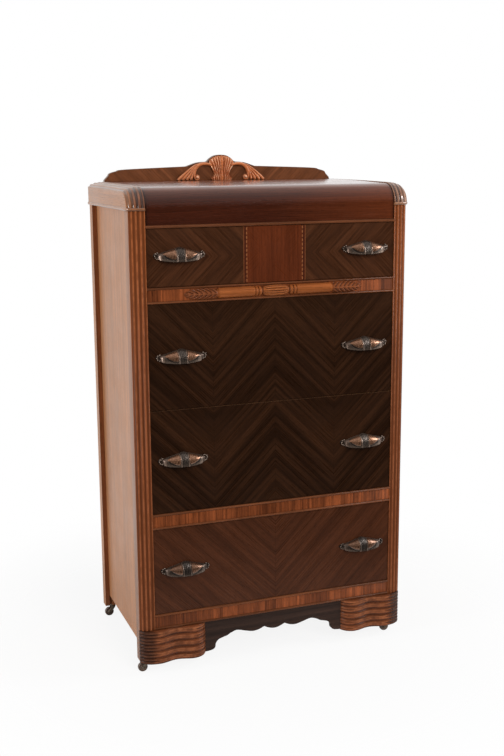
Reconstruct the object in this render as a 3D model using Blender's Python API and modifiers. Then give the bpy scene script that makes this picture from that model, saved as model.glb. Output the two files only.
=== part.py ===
"""A tall waterfall dresser: post and panel carcass, four drawers, carved crest, reeded feet, casters.

The front faces -Y and +Z is up. Heights stack upwards from the floor. Depths are measured from the
front plane of the posts, which an empty places so that the origin is the middle of the footprint.
"""
import math

import bmesh
import bpy
from mathutils import Matrix, Vector

# Fits
FIT = 0.0003                # between pieces that are glued or seated
RUN = 0.0010                # beside a sliding drawer
AXLE_PLAY = 0.00015         # around a turning pin

# Carcass
HEIGHT = 1.290              # floor to the top
WIDTH = 0.768               # over the posts
DEPTH = 0.446               # front plane to the rear of the posts
LEG_Z = 0.036               # floor to the bottom of posts and feet
POST_W = 0.040
POST_D = 0.046
CORNER_DROP = 0.015         # how far the rounded corner falls back at the side
FLUTES = 4
FLUTE_W = 0.0076
FLUTE_DEPTH = 0.0023
REAR_POST_W = 0.044
REAR_POST_D = 0.030
PANEL_SETBACK = 0.013       # side panel behind the outer face of the posts
PANEL_T = 0.008
PANEL_GROOVE = 0.008
PANEL_RISE = 0.032          # lower edge of the side panel above the leg bottom
BRACKET_R = 0.030
BRACKET_END = 0.029         # length of the bracket behind the front post
BRACKET_RISE = 0.002
BACK_T = 0.006
BACK_INSET = 0.004
BACK_GROOVE = 0.006
BACK_RISE = 0.044

# Front, from the floor upwards
BOTTOM_RAIL_RISE = 0.091    # bottom rail above the leg bottom
RAIL_H = 0.041
RAIL_SINK = 0.001           # field of a rail behind the front plane
EDGE_BEAD_H = 0.0056
EDGE_BEAD_PROUD = 0.0022
DRAWER_4_H = 0.236          # bottom drawer; the middle pair shares what is left
DRAWER_1_H = 0.147
NOSE_H = 0.008              # bead under the fall
NOSE_PROUD = 0.003
FALL_H = 0.098              # lower edge of the fall to the top

# Top
TOP_T = 0.020
ROLL_R = 0.054
CAP_H = 0.062
CAP_OVERHANG = 0.003
COLLAR_H = 0.008
COLLAR_PROUD = 0.002
GALLERY_T = 0.018
GALLERY_INSET = 0.004       # rear of the gallery in from the rear edge
GALLERY_H = 0.040
GALLERY_END_H = 0.005
GALLERY_SAG = 0.005         # fall of the gallery's top line towards its ends
GALLERY_OGEE = 0.036        # length of the ogee end
RISE_HALF = 0.104           # half length of the raised middle
CREST_HALF = 0.133
CREST_H = 0.0715
CREST_EDGE = 0.0010         # gallery standing proud round the crest
SHELL_HALF = 0.040
SHELL_RIBS = 7
SHELL_DEPTH = 0.013
SHELL_RIB = 0.0013
ARM_R = 0.0050
SHOULDER_X = 0.030          # start of an arm inside the shell
SHOULDER_Z = 0.0415
ARCH_X = 0.058              # middle of the arm's arch
ARCH_Z = 0.0240
ARCH_W = 0.0245
ARCH_H = 0.0220
VOLUTE_X = 0.0707
VOLUTE_Z = 0.0148
VOLUTE_R = 0.0125
VOLUTE_EYE = 0.0040
LEAVES = 5
LEAF_R = 0.0030
LEAF_SWELL = 0.0014
LEAF_TIP_R = 0.0014
LEAF_ROOT_X = 0.065
LEAF_ROOT_Z = 0.0425
LEAF_ROOT_RUN = 0.013       # first root to last root, outwards
LEAF_ROOT_DROP = 0.0145     # first root to last root, downwards
LEAF_SPREAD = 0.047         # first tip to last tip
LEAF_BEND = 0.004
LEAF_STEP = 0.0012          # each leaf behind the one before it, in all

# Rails and apron
NOSE_RAIL_D = 0.066
NOSE_RAIL_H = 0.020
TURNING_HALF = 0.2475
TURNING_R = 0.0128
TURNING_BULGE = 0.0018
APRON_T = 0.016
APRON_TAB_RISE = 0.000      # tab of the apron above the leg bottom
SCALLOP_RISE = 0.0365       # deepest scallop above the leg bottom
SCALLOP_H = 0.0095
SCALLOP_W = 0.060
ARCH_HALF = 0.108
TAB_HALF = 0.169

# Feet
FOOT_IN = 0.199             # inner end of a foot from the middle
FOOT_H = 0.083
FOOT_SIDE_PROUD = 0.006
FOOT_BACK = 0.020           # rear face of a foot behind the front plane
FOOT_PROUD = 0.0070         # middle of the serpentine ahead of the front plane
FOOT_WAVE = 0.0045
FOOT_CORNER_R = 0.020
FOOT_END_R = 0.014
REEDS = 5
REED_DEPTH = 0.0030

# Drawers and dust frames
FRONT_T = 0.020
FRONT_SINK = 0.002
FRONT_GAP = 0.0010
FRONT_EDGE = 0.0008
SIDE_T = 0.012
BOX_BACK_T = 0.012
BOX_BACK_DROP = 0.006
BOX_REAR_GAP = 0.020
BOX_HEADROOM = 0.010
BOTTOM_T = 0.005
BOTTOM_GROOVE = 0.006
BOTTOM_RISE = 0.012
LIP = 0.010                 # fronts of the middle pair lapping their divider
FRAME_T = 0.019
RUNNER_W = 0.045
CROSS_RAIL_W = 0.045
DUST_T = 0.004
GUIDE_H = 0.015

# Pulls
PULL_L = 0.135
PULL_TOP = 0.020
PULL_BOTTOM = 0.016
PULL_REACH = 0.025
PULL_T = 0.0022
PULL_X = 0.262
PULL_RAISE = 0.004          # pull above the middle of its drawer front

# Casters
WHEEL_R = 0.013
WHEEL_W = 0.011
TRAIL = 0.011
AXLE_R = 0.0016
CHEEK_T = 0.0016
CHEEK_GAP = 0.0008
CROWN_R = 0.0085
CROWN_T = 0.003
CROWN_GAP = 0.0025          # crown above the wheel
STEM_R = 0.0038
STEM_PLAY = 0.0003
STEM_L = 0.028
COLLAR_R = 0.0065
FRONT_CASTER_IN = 0.022     # stem from the outer face of the posts
FRONT_CASTER_Y = 0.034
REAR_CASTER_IN = 0.024
REAR_CASTER_Y = 0.016       # stem from the rear face

# Places worked out from the sizes above
HALF = WIDTH / 2
OPEN_HALF = HALF - POST_W
PANEL_OUT = HALF - PANEL_SETBACK
PANEL_IN = PANEL_OUT - PANEL_T
REAR_IN = HALF - REAR_POST_W
REAR_FACE = DEPTH - REAR_POST_D
BOTTOM_RAIL_Z = LEG_Z + BOTTOM_RAIL_RISE
DRAWER_4_Z = BOTTOM_RAIL_Z + RAIL_H
LOWER_RAIL_Z = DRAWER_4_Z + DRAWER_4_H
DRAWER_3_Z = LOWER_RAIL_Z + RAIL_H
TOP_Z = HEIGHT
FALL_Z = TOP_Z - FALL_H
NOSE_Z = FALL_Z - NOSE_H
DRAWER_1_Z = NOSE_Z - DRAWER_1_H
UPPER_RAIL_Z = DRAWER_1_Z - RAIL_H
DRAWER_2_Z = (DRAWER_3_Z + UPPER_RAIL_Z) / 2
CAP_Z = TOP_Z - CAP_H
FOOT_TOP = LEG_Z + FOOT_H
GALLERY_BACK = DEPTH - GALLERY_INSET
GALLERY_FRONT = GALLERY_BACK - GALLERY_T
CREST_BACK = GALLERY_FRONT - FIT
BACK_Y = DEPTH - BACK_INSET - BACK_T
BOX_FRONT = FRONT_SINK + FRONT_T
BOX_REAR = BACK_Y - BOX_REAR_GAP
FRONT_REACH = max(PULL_REACH + FIT - FRONT_SINK, FOOT_PROUD + FOOT_WAVE)
FRONT_Y = (FRONT_REACH - DEPTH) / 2

# Clean scene, collections and the empty that carries the model
for old in list(bpy.data.objects):
    bpy.data.objects.remove(old, do_unlink=True)
PARTS = bpy.data.collections.new("waterfall_dresser")
CUTTERS = bpy.data.collections.new("cutters")
bpy.context.scene.collection.children.link(PARTS)
bpy.context.scene.collection.children.link(CUTTERS)


def empty(name, place, parent=None):
    """An empty that carries a group of pieces or marks a joint axis."""
    mark = bpy.data.objects.new(name, None)
    mark.empty_display_size = 0.02
    mark.location = place
    mark.parent = parent
    PARTS.objects.link(mark)
    return mark


def finish(name, color, roughness, metallic=0.0):
    """A plain Principled material."""
    made = bpy.data.materials.new(name)
    made.use_nodes = True
    shader = made.node_tree.nodes["Principled BSDF"]
    shader.inputs["Base Color"].default_value = (*color, 1.0)
    shader.inputs["Roughness"].default_value = roughness
    shader.inputs["Metallic"].default_value = metallic
    return made


ROOT = empty("front_plane", (0, FRONT_Y, 0))
VENEER = finish("walnut_veneer", (0.070, 0.032, 0.018), 0.35)
TOP_WOOD = finish("red_walnut", (0.095, 0.030, 0.018), 0.28)
POST_WOOD = finish("post_walnut", (0.210, 0.078, 0.030), 0.38)
SIDE_WOOD = finish("side_walnut", (0.190, 0.075, 0.034), 0.35)
BAND_WOOD = finish("crossband", (0.200, 0.070, 0.026), 0.36)
CARVED_WOOD = finish("carved_walnut", (0.300, 0.110, 0.038), 0.42)
DARK_WOOD = finish("dark_stained_wood", (0.035, 0.022, 0.016), 0.45)
BOX_WOOD = finish("drawer_box_wood", (0.420, 0.260, 0.130), 0.55)
PULL_METAL = finish("aged_brass", (0.230, 0.150, 0.085), 0.35, 1.0)
STEEL = finish("caster_steel", (0.120, 0.095, 0.070), 0.45, 1.0)
WHEEL_WOOD = finish("caster_wheel", (0.060, 0.038, 0.026), 0.50)


def piece(name, mesh, material, parent=ROOT, smooth=35):
    """A named sub-part."""
    made = bpy.data.objects.new(name, mesh)
    made.parent = parent
    mesh.materials.append(material)
    mesh.shade_smooth()
    mesh.set_sharp_from_angle(angle=math.radians(smooth))
    PARTS.objects.link(made)
    return made


def helper(name, mesh, parent=ROOT):
    """A hidden shape that is cut from a sub-part or joined to it."""
    made = bpy.data.objects.new(name, mesh)
    made.parent = parent
    made.hide_render = True
    made.display_type = "WIRE"
    CUTTERS.objects.link(made)
    return made


def combine(target, other, operation):
    """A Boolean between a sub-part and a helper."""
    step = target.modifiers.new(other.name, "BOOLEAN")
    step.operation = operation
    step.solver = "EXACT"
    step.object = other


def cut(target, mesh):
    combine(target, helper(target.name + "_cut", mesh, target.parent), "DIFFERENCE")


def join(target, mesh):
    combine(target, helper(target.name + "_add", mesh, target.parent), "UNION")


def to_mesh(name, work):
    """A mesh from a finished bmesh, with its faces turned outwards."""
    bmesh.ops.recalc_face_normals(work, faces=work.faces)
    mesh = bpy.data.meshes.new(name)
    work.to_mesh(mesh)
    work.free()
    return mesh


def box(low, high):
    """A box between two corners."""
    low = Vector(low)
    high = Vector(high)
    size = high - low
    work = bmesh.new()
    frame = Matrix.Translation((low + high) / 2) @ Matrix.Diagonal((*size, 1))
    bmesh.ops.create_cube(work, size=1, matrix=frame)
    return to_mesh("box", work)


def cylinder(place, radius, length, axis="Z", sides=16):
    """A cylinder centred on a point, along Y or Z."""
    turn = Matrix.Rotation(math.pi / 2, 4, "X") if axis == "Y" else Matrix()
    work = bmesh.new()
    bmesh.ops.create_cone(work, cap_ends=True, segments=sides, radius1=radius, radius2=radius, depth=length,
                          matrix=Matrix.Translation(place) @ turn)
    return to_mesh("cylinder", work)


def from_curve(name, curve, frame):
    """The closed mesh of a curve object, with its caps welded."""
    source = bpy.data.objects.new(name, curve)
    bpy.context.scene.collection.objects.link(source)
    graph = bpy.context.evaluated_depsgraph_get()
    mesh = bpy.data.meshes.new_from_object(source.evaluated_get(graph))
    bpy.data.objects.remove(source)
    bpy.data.curves.remove(curve)
    work = bmesh.new()
    work.from_mesh(mesh)
    bpy.data.meshes.remove(mesh)
    bmesh.ops.remove_doubles(work, verts=work.verts, dist=0.00002)
    work.transform(frame)
    return to_mesh(name, work)


def extrude(points, axis, low, high):
    """A flat outline extruded along an axis.

    The points are (y, z) for X, (x, z) for Y and (x, y) for Z.
    """
    curve = bpy.data.curves.new("outline", "CURVE")
    curve.dimensions = "2D"
    curve.fill_mode = "BOTH"
    curve.extrude = (high - low) / 2
    line = curve.splines.new("POLY")
    line.points.add(len(points) - 1)
    line.use_cyclic_u = True
    for spot, (across, up) in zip(line.points, points):
        spot.co = (across, up, 0, 1)
    middle = (low + high) / 2
    if axis == "X":
        frame = Matrix(((0, 0, 1, middle), (1, 0, 0, 0), (0, 1, 0, 0), (0, 0, 0, 1)))
    elif axis == "Y":
        frame = Matrix(((1, 0, 0, 0), (0, 0, -1, middle), (0, 1, 0, 0), (0, 0, 0, 1)))
    else:
        frame = Matrix.Translation((0, 0, middle))
    return from_curve("extrusion", curve, frame)


def tube(points, radii, sides=8):
    """A round bar through points, with its own radius at each."""
    curve = bpy.data.curves.new("bar", "CURVE")
    curve.dimensions = "3D"
    curve.bevel_depth = 1.0
    curve.bevel_resolution = (sides - 4) // 2
    curve.use_fill_caps = True
    line = curve.splines.new("POLY")
    line.points.add(len(points) - 1)
    for spot, place, radius in zip(line.points, points, radii):
        spot.co = (*place, 1)
        spot.radius = radius
    return from_curve("tube", curve, Matrix())


def loft(rings):
    """A closed solid through rings that have the same number of points."""
    work = bmesh.new()
    rows = [[work.verts.new(spot) for spot in ring] for ring in rings]
    for one, two in zip(rows, rows[1:]):
        for i in range(len(one)):
            j = (i + 1) % len(one)
            work.faces.new((one[i], one[j], two[j], two[i]))
    work.faces.new(rows[0])
    work.faces.new(rows[-1])
    return to_mesh("loft", work)


def turned(profile, steps):
    """A turned mesh: (radius, height) pairs from top to bottom, spun about Z by a Screw modifier."""
    work = bmesh.new()
    spots = [work.verts.new((radius, 0, height)) for radius, height in profile]
    for one, two in zip(spots, spots[1:]):
        work.edges.new((one, two))
    mesh = bpy.data.meshes.new("profile")
    work.to_mesh(mesh)
    work.free()
    source = bpy.data.objects.new("profile", mesh)
    bpy.context.scene.collection.objects.link(source)
    screw = source.modifiers.new("turn", "SCREW")
    screw.steps = steps
    screw.render_steps = steps
    screw.use_merge_vertices = True
    screw.merge_threshold = 0.00002
    graph = bpy.context.evaluated_depsgraph_get()
    solid = bpy.data.meshes.new_from_object(source.evaluated_get(graph))
    bpy.data.objects.remove(source)
    work = bmesh.new()
    work.from_mesh(solid)
    bpy.data.meshes.remove(solid)
    bmesh.ops.remove_doubles(work, verts=work.verts, dist=0.00002)
    return to_mesh("turned", work)


def arc(center, radius, start, end, count):
    """Points on an arc, angles in degrees."""
    spots = []
    for i in range(count + 1):
        angle = math.radians(start + (end - start) * i / count)
        spots.append((center[0] + radius * math.cos(angle), center[1] + radius * math.sin(angle)))
    return spots


def smooth(points, steps):
    """A smooth line through points: Catmull-Rom, with the ends repeated."""
    line = [Vector(spot) for spot in points]
    line = [line[0]] + line + [line[-1]]
    spots = []
    for a, b, c, d in zip(line, line[1:], line[2:], line[3:]):
        for i in range(steps):
            t = i / steps
            spots.append(0.5 * (2 * b + (c - a) * t + (2 * a - 5 * b + 4 * c - d) * t ** 2
                                + (3 * b - a - 3 * c + d) * t ** 3))
    spots.append(line[-1])
    return [tuple(spot) for spot in spots]


def mirrored(points):
    """An outline and its mirror image about X = 0, as one closed outline."""
    return list(points) + [(-x, z) for x, z in reversed(points) if abs(x) > 1e-6]


# Fluted rounded corner, shared by the posts and the caps

def ellipse_corner(width, drop, share):
    """A point of the rounded corner and its inward normal, by share of the quarter ellipse."""
    angle = share * math.pi / 2
    spot = Vector((width * math.sin(angle), drop * (1 - math.cos(angle))))
    inward = Vector((-drop * math.sin(angle), width * math.cos(angle)))
    return spot, inward.normalized()


def corner_length(width, drop, samples=200):
    """Share of the quarter ellipse against the length along it."""
    table = [(0.0, 0.0)]
    last, _ = ellipse_corner(width, drop, 0)
    for i in range(1, samples + 1):
        spot, _ = ellipse_corner(width, drop, i / samples)
        table.append((table[-1][0] + (spot - last).length, i / samples))
        last = spot
    return table


def share_at(table, length):
    for (one, low), (two, high) in zip(table, table[1:]):
        if one <= length <= two:
            return low + (high - low) * (length - one) / (two - one)
    return 1.0


def corner(width, drop, fluted=True):
    """(across, back) points of the rounded corner from its inner edge to its side face."""
    table = corner_length(width, drop)
    total = table[-1][0]
    pitch = total / FLUTES
    places = [(0.0, 0.0)]
    for k in range(FLUTES):
        middle = (k + 0.5) * pitch
        for q, sink in ((-0.5, 0.0), (-0.32, 0.75), (0.0, 1.0), (0.32, 0.75), (0.5, 0.0)):
            places.append((middle + q * FLUTE_W, sink * FLUTE_DEPTH if fluted else 0.0))
    places.append((total, 0.0))
    spots = []
    for length, sink in places:
        spot, inward = ellipse_corner(width, drop, share_at(table, length))
        spots.append(tuple(spot + inward * sink))
    return spots


def sides():
    """The two sides of the dresser and their names."""
    return ((-1, "left"), (1, "right"))


# Carcass

def stem_bore(x, y):
    """The hole for a caster stem."""
    length = STEM_L + 2 * FIT
    return cylinder((x, y, LEG_Z + length / 2 - FIT), STEM_R + STEM_PLAY, length + 2 * FIT)


def front_posts():
    for sign, side in sides():
        front = [(OPEN_HALF + across, back) for across, back in corner(POST_W, CORNER_DROP)]
        groove = POST_D - PANEL_GROOVE - FIT
        rear = [(HALF, POST_D), (PANEL_OUT + FIT, POST_D), (PANEL_OUT + FIT, groove),
                (PANEL_IN - FIT, groove), (PANEL_IN - FIT, POST_D), (OPEN_HALF, POST_D)]
        plan = [(sign * x, y) for x, y in front + rear]
        post = piece("front_post_" + side, extrude(plan, "Z", LEG_Z, CAP_Z - FIT), POST_WOOD)
        reach = HALF + POST_W
        low, high = sorted((sign * (OPEN_HALF - POST_W), sign * reach))
        cut(post, box((low, -POST_D, LEG_Z - POST_W), (high, FOOT_BACK + FIT, FOOT_TOP + FIT)))
        cut(post, stem_bore(sign * (HALF - FRONT_CASTER_IN), FRONT_CASTER_Y))


def rear_posts():
    groove = REAR_FACE + PANEL_GROOVE + FIT
    inside = REAR_IN + BACK_GROOVE + FIT
    plan = [(REAR_IN, REAR_FACE), (PANEL_IN - FIT, REAR_FACE), (PANEL_IN - FIT, groove),
            (PANEL_OUT + FIT, groove), (PANEL_OUT + FIT, REAR_FACE), (HALF, REAR_FACE), (HALF, DEPTH),
            (REAR_IN, DEPTH),
            (REAR_IN, BACK_Y + BACK_T + FIT), (inside, BACK_Y + BACK_T + FIT), (inside, BACK_Y - FIT),
            (REAR_IN, BACK_Y - FIT)]
    for sign, side in sides():
        outline = [(sign * x, y) for x, y in plan]
        post = piece("rear_post_" + side, extrude(outline, "Z", LEG_Z, CAP_Z - FIT), POST_WOOD)
        cut(post, stem_bore(sign * (HALF - REAR_CASTER_IN), DEPTH - REAR_CASTER_Y))


def side_panels():
    front = POST_D - PANEL_GROOVE
    rear = REAR_FACE + PANEL_GROOVE
    lower = LEG_Z + PANEL_RISE
    foot = LEG_Z + BRACKET_RISE
    start = POST_D + BRACKET_END
    curve = arc((start + BRACKET_R, lower - BRACKET_R), BRACKET_R, 90, 180, 6)
    outline = [(front, CAP_Z - FIT), (rear, CAP_Z - FIT), (rear, lower)] + curve
    outline += [(start, foot), (front, foot)]
    for sign, side in sides():
        low, high = sorted((sign * PANEL_IN, sign * PANEL_OUT))
        piece("side_panel_" + side, extrude(outline, "X", low, high), SIDE_WOOD)


def back_panel():
    """A thin panel in grooves of the rear posts, narrowed where it passes between the caps."""
    half = REAR_IN + BACK_GROOVE
    upper = OPEN_HALF - FIT
    shoulder = CAP_Z - FIT
    side = [(half, LEG_Z + BACK_RISE), (half, shoulder), (upper, shoulder), (upper, TOP_Z - TOP_T - FIT)]
    piece("back_panel", extrude(mirrored(side), "Y", BACK_Y, BACK_Y + BACK_T), SIDE_WOOD)


# Top

def roll(inset, count):
    """(y, z) points of the front fall's roll, inset from its outer face."""
    radius = ROLL_R - inset
    spots = arc((ROLL_R, TOP_Z - ROLL_R), radius, 180, 90, count)
    return spots


def waterfall_top():
    outer = [(0.0, FALL_Z + FIT)] + roll(0.0, 10) + [(DEPTH, TOP_Z)]
    inner = [(DEPTH, TOP_Z - TOP_T)] + roll(TOP_T, 6)[::-1] + [(TOP_T, FALL_Z + FIT)]
    half = OPEN_HALF - FIT
    piece("waterfall_top", extrude(outer + inner, "X", -half, half), TOP_WOOD)


def top_caps():
    width = POST_W + CAP_OVERHANG
    for sign, side in sides():
        rings = []
        for across, back in corner(width, CORNER_DROP):
            line = [(back, CAP_Z + COLLAR_H / 2)] + roll(back, 8)
            line += [(DEPTH, TOP_Z - back), (DEPTH, CAP_Z + COLLAR_H / 2)]
            rings.append([(sign * (OPEN_HALF + across), y, z) for y, z in line])
        cap = piece("top_cap_" + side, loft(rings), POST_WOOD)
        plan = [(OPEN_HALF + FIT + across * (width + COLLAR_PROUD) / width, back - COLLAR_PROUD)
                for across, back in corner(width, CORNER_DROP, fluted=False)[::2]]
        plan += [(plan[-1][0], DEPTH - FIT), (plan[0][0], DEPTH - FIT)]
        collar = extrude([(sign * x, y) for x, y in plan], "Z", CAP_Z, CAP_Z + COLLAR_H)
        join(cap, collar)


def gallery_board():
    half = OPEN_HALF - FIT
    end = TOP_Z + FIT
    level = TOP_Z + GALLERY_H
    ogee = smooth([(half, end + GALLERY_END_H), (half - 0.30 * GALLERY_OGEE, level - 0.60 * GALLERY_H),
                   (half - 0.46 * GALLERY_OGEE, level - 0.42 * GALLERY_H),
                   (half - GALLERY_OGEE, level - 1.7 * GALLERY_SAG)], 3)
    top = smooth([ogee[-1], (half - 1.8 * GALLERY_OGEE, level - GALLERY_SAG), (RISE_HALF, level)], 2)[1:]
    rise = TOP_Z + CREST_H + CREST_EDGE - level
    swell = smooth([top[-1], (0.73 * RISE_HALF, level + 0.29 * rise), (0.55 * RISE_HALF, level + 0.38 * rise),
                    (0.40 * RISE_HALF, level + 0.42 * rise), (0.30 * RISE_HALF, level + 0.70 * rise),
                    (0.16 * RISE_HALF, level + 0.94 * rise), (0.0, level + rise)], 2)[1:]
    outline = mirrored([(half, end)] + ogee + top + swell)
    piece("gallery_board", extrude(outline, "Y", GALLERY_FRONT, GALLERY_BACK), VENEER)


def shell():
    """The ribbed palmette: horizontal rings with a waist and a flared foot."""
    form = ((0.00, 0.70), (0.14, 0.80), (0.38, 0.575), (0.55, 0.70), (0.70, 1.00), (0.80, 0.94), (0.90, 0.75),
            (0.975, 0.39), (1.00, 0.15))
    columns = SHELL_RIBS * 4
    rings = []
    for height, spread in form:
        half = SHELL_HALF * spread
        level = TOP_Z + FIT + height * (CREST_H - FIT)
        crown = SHELL_DEPTH * (0.55 + 0.45 * math.sin(math.pi * min(1.0, 0.15 + height)))
        ring = []
        for i in range(columns + 1):
            u = 2 * i / columns - 1
            depth = crown * (1 - 0.5 * u * u) + SHELL_RIB * math.cos(math.pi * SHELL_RIBS * u)
            ring.append((half * u, CREST_BACK - depth, level))
        ring += [(half, CREST_BACK, level), (-half, CREST_BACK, level)]
        rings.append(ring)
    return loft(rings)


def arm_path():
    """(x, z) points of a scrolled arm: an arch that turns into a volute."""
    arch = [(SHOULDER_X, SHOULDER_Z), (ARCH_X - 0.57 * ARCH_W, ARCH_Z + 0.94 * ARCH_H)]
    for i in range(6):
        angle = math.radians(90 - 15 * i)
        arch.append((ARCH_X + ARCH_W * math.cos(angle), ARCH_Z + ARCH_H * math.sin(angle)))
    steps = 14
    volute = []
    for i in range(steps + 1):
        angle = math.radians(25 - 320 * i / steps)
        radius = VOLUTE_R + (VOLUTE_EYE - VOLUTE_R) * i / steps
        volute.append((VOLUTE_X + radius * math.cos(angle), VOLUTE_Z + radius * math.sin(angle)))
    return arch + volute


def leaf_path(share):
    """(x, z) points of one leaf, from its root on the arm to its tip on the top; share runs inwards."""
    root = Vector((LEAF_ROOT_X + LEAF_ROOT_RUN * share, LEAF_ROOT_Z - LEAF_ROOT_DROP * share))
    tip = Vector((CREST_HALF - LEAF_TIP_R - LEAF_SPREAD * share, FIT + LEAF_TIP_R))
    bend = (root + tip) / 2 + Vector((LEAF_BEND, LEAF_BEND)) * (1 - share)
    return smooth([root, (root * 2 + bend) / 3, bend, tip], 2)


def crest_carving():
    crest = piece("crest_carving", shell(), CARVED_WOOD)
    depth = CREST_BACK - ARM_R
    for sign, side in sides():
        path = arm_path()
        line = [(sign * x, depth, TOP_Z + z) for x, z in path]
        taper = [ARM_R * (1 - 0.42 * i / (len(path) - 1)) for i in range(len(path))]
        join(crest, tube(line, taper))
        for k in range(LEAVES):
            share = k / (LEAVES - 1)
            leaf = leaf_path(share)
            last = len(leaf) - 1
            line = [(sign * x, depth + LEAF_STEP * share, TOP_Z + z) for x, z in leaf]
            swell = [LEAF_R + LEAF_SWELL * math.sin(math.pi * i / last) for i in range(last)]
            join(crest, tube(line, swell + [LEAF_TIP_R], sides=6))
    reach = CREST_HALF + CREST_H
    low = (-reach, CREST_BACK, TOP_Z - CREST_H)
    cut(crest, box(low, (reach, CREST_BACK + SHELL_DEPTH, TOP_Z + 2 * CREST_H)))
    cut(crest, box((-reach, CREST_BACK - 2 * SHELL_DEPTH, low[2]), (reach, CREST_BACK, TOP_Z + FIT)))


# Rails and apron

def beaded_rail(name, z):
    """A rail with a half-round bead along each edge."""
    bead = EDGE_BEAD_H / 2
    stretch = (EDGE_BEAD_PROUD + RAIL_SINK) / bead
    lower = [(RAIL_SINK + (y - RAIL_SINK) * stretch, up)
             for y, up in arc((RAIL_SINK, z + bead), bead, 270, 90, 4)]
    upper = [(RAIL_SINK + (y - RAIL_SINK) * stretch, up)
             for y, up in arc((RAIL_SINK, z + RAIL_H - bead), bead, 270, 90, 4)]
    outline = lower + upper + [(POST_D, z + RAIL_H), (POST_D, z)]
    half = OPEN_HALF - FIT
    piece(name, extrude(outline, "X", -half, half), BAND_WOOD)


def top_rail():
    """The bead under the fall, on the rail that stiffens the front."""
    radius = NOSE_H / 2
    nose = arc((radius - NOSE_PROUD, NOSE_Z + radius), radius, 270, 90, 5)
    step = TOP_T + FIT
    outline = nose + [(step, FALL_Z), (step, FALL_Z + NOSE_RAIL_H), (NOSE_RAIL_D, FALL_Z + NOSE_RAIL_H),
                      (NOSE_RAIL_D, NOSE_Z)]
    half = OPEN_HALF - FIT
    piece("top_rail", extrude(outline, "X", -half, half), BAND_WOOD)


def rail_turning():
    """A split turning: barrel, rings, plain lengths and leaf ends, halved against the rail."""
    ring = TURNING_R * 0.80
    barrel = TURNING_R + TURNING_BULGE
    half = [(barrel, 0.0), (TURNING_R + 0.6 * TURNING_BULGE, 0.080), (ring, 0.145), (ring, 0.152),
            (TURNING_R, 0.168), (TURNING_R, 0.182), (ring, 0.198), (ring, 0.207), (TURNING_R, 0.223),
            (TURNING_R, 0.246), (ring, 0.258), (TURNING_R, 0.262), (TURNING_R, 0.635), (ring, 0.642),
            (barrel, 0.665), (barrel, 0.900), (TURNING_R * 0.72, 0.965), (0.0, 1.0)]
    upper = [(radius, share * TURNING_HALF) for radius, share in reversed(half)]
    lower = [(radius, -share * TURNING_HALF) for radius, share in half[1:]]
    mesh = turned(upper + lower, 14)
    mesh.transform(Matrix.Translation((0, RAIL_SINK - FIT, UPPER_RAIL_Z + RAIL_H / 2))
                   @ Matrix.Rotation(math.pi / 2, 4, "Y"))
    turning = piece("rail_turning", mesh, CARVED_WOOD)
    reach = TURNING_HALF * 1.1
    low = UPPER_RAIL_Z - RAIL_H
    cut(turning, box((-reach, RAIL_SINK - FIT, low), (reach, POST_D, low + 3 * RAIL_H)))


def apron():
    """A scalloped apron: lobes meeting in cusps, an arch each side and a tab at each foot."""
    base = LEG_Z + SCALLOP_RISE
    tab = LEG_Z + APRON_TAB_RISE
    cusp = base + SCALLOP_H
    half_lobe = SCALLOP_W / 2
    line = [(half_lobe * i / 4, cusp - SCALLOP_H * math.cos(math.pi / 2 * i / 4)) for i in range(5)]
    span = ARCH_HALF - half_lobe
    line += smooth([line[-1], (half_lobe + 0.22 * span, base + 0.28 * SCALLOP_H),
                    (half_lobe + 0.42 * span, base + 0.10 * SCALLOP_H),
                    (half_lobe + 0.66 * span, base + 0.55 * SCALLOP_H),
                    (ARCH_HALF, base + 1.20 * SCALLOP_H)], 2)[1:]
    run = TAB_HALF - ARCH_HALF
    drop = base - tab
    line += smooth([line[-1], (ARCH_HALF + 0.30 * run, base + 0.45 * SCALLOP_H),
                    (ARCH_HALF + 0.46 * run, base), (ARCH_HALF + 0.82 * run, base - 0.17 * drop),
                    (TAB_HALF - 0.02 * run, base - 0.45 * drop),
                    (TAB_HALF + 0.03 * run, base - 0.80 * drop), (TAB_HALF + 0.20 * run, tab + 0.04 * drop),
                    (TAB_HALF + 0.40 * run, tab)], 2)[1:]
    half = OPEN_HALF - FIT
    outline = mirrored([(0.0, BOTTOM_RAIL_Z - FIT), (half, BOTTOM_RAIL_Z - FIT), (half, tab)] + line[::-1])
    low = FOOT_BACK + FIT
    piece("apron", extrude(outline, "Y", low, low + APRON_T), DARK_WOOD)


# Feet

def foot_path():
    """(x, y) points of a right foot's outer face: rounded end, serpentine front, rounded corner."""
    outer = HALF + FOOT_SIDE_PROUD
    start = FOOT_IN + FOOT_END_R
    end = outer - FOOT_CORNER_R
    crest = FOOT_PROUD + FOOT_WAVE
    reach = FOOT_BACK + crest
    line = []
    for i in range(6):
        angle = math.pi / 2 * i / 5
        line.append((start - FOOT_END_R * math.cos(angle), FOOT_BACK - reach * math.sin(angle)))
    for i in range(1, 12):
        share = i / 12
        line.append((start + (end - start) * share, -FOOT_PROUD - FOOT_WAVE * math.cos(2 * math.pi * share)))
    for i in range(7):
        angle = math.pi / 2 * i / 6
        line.append((end + FOOT_CORNER_R * math.sin(angle), FOOT_BACK - reach * math.cos(angle)))
    return line


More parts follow.
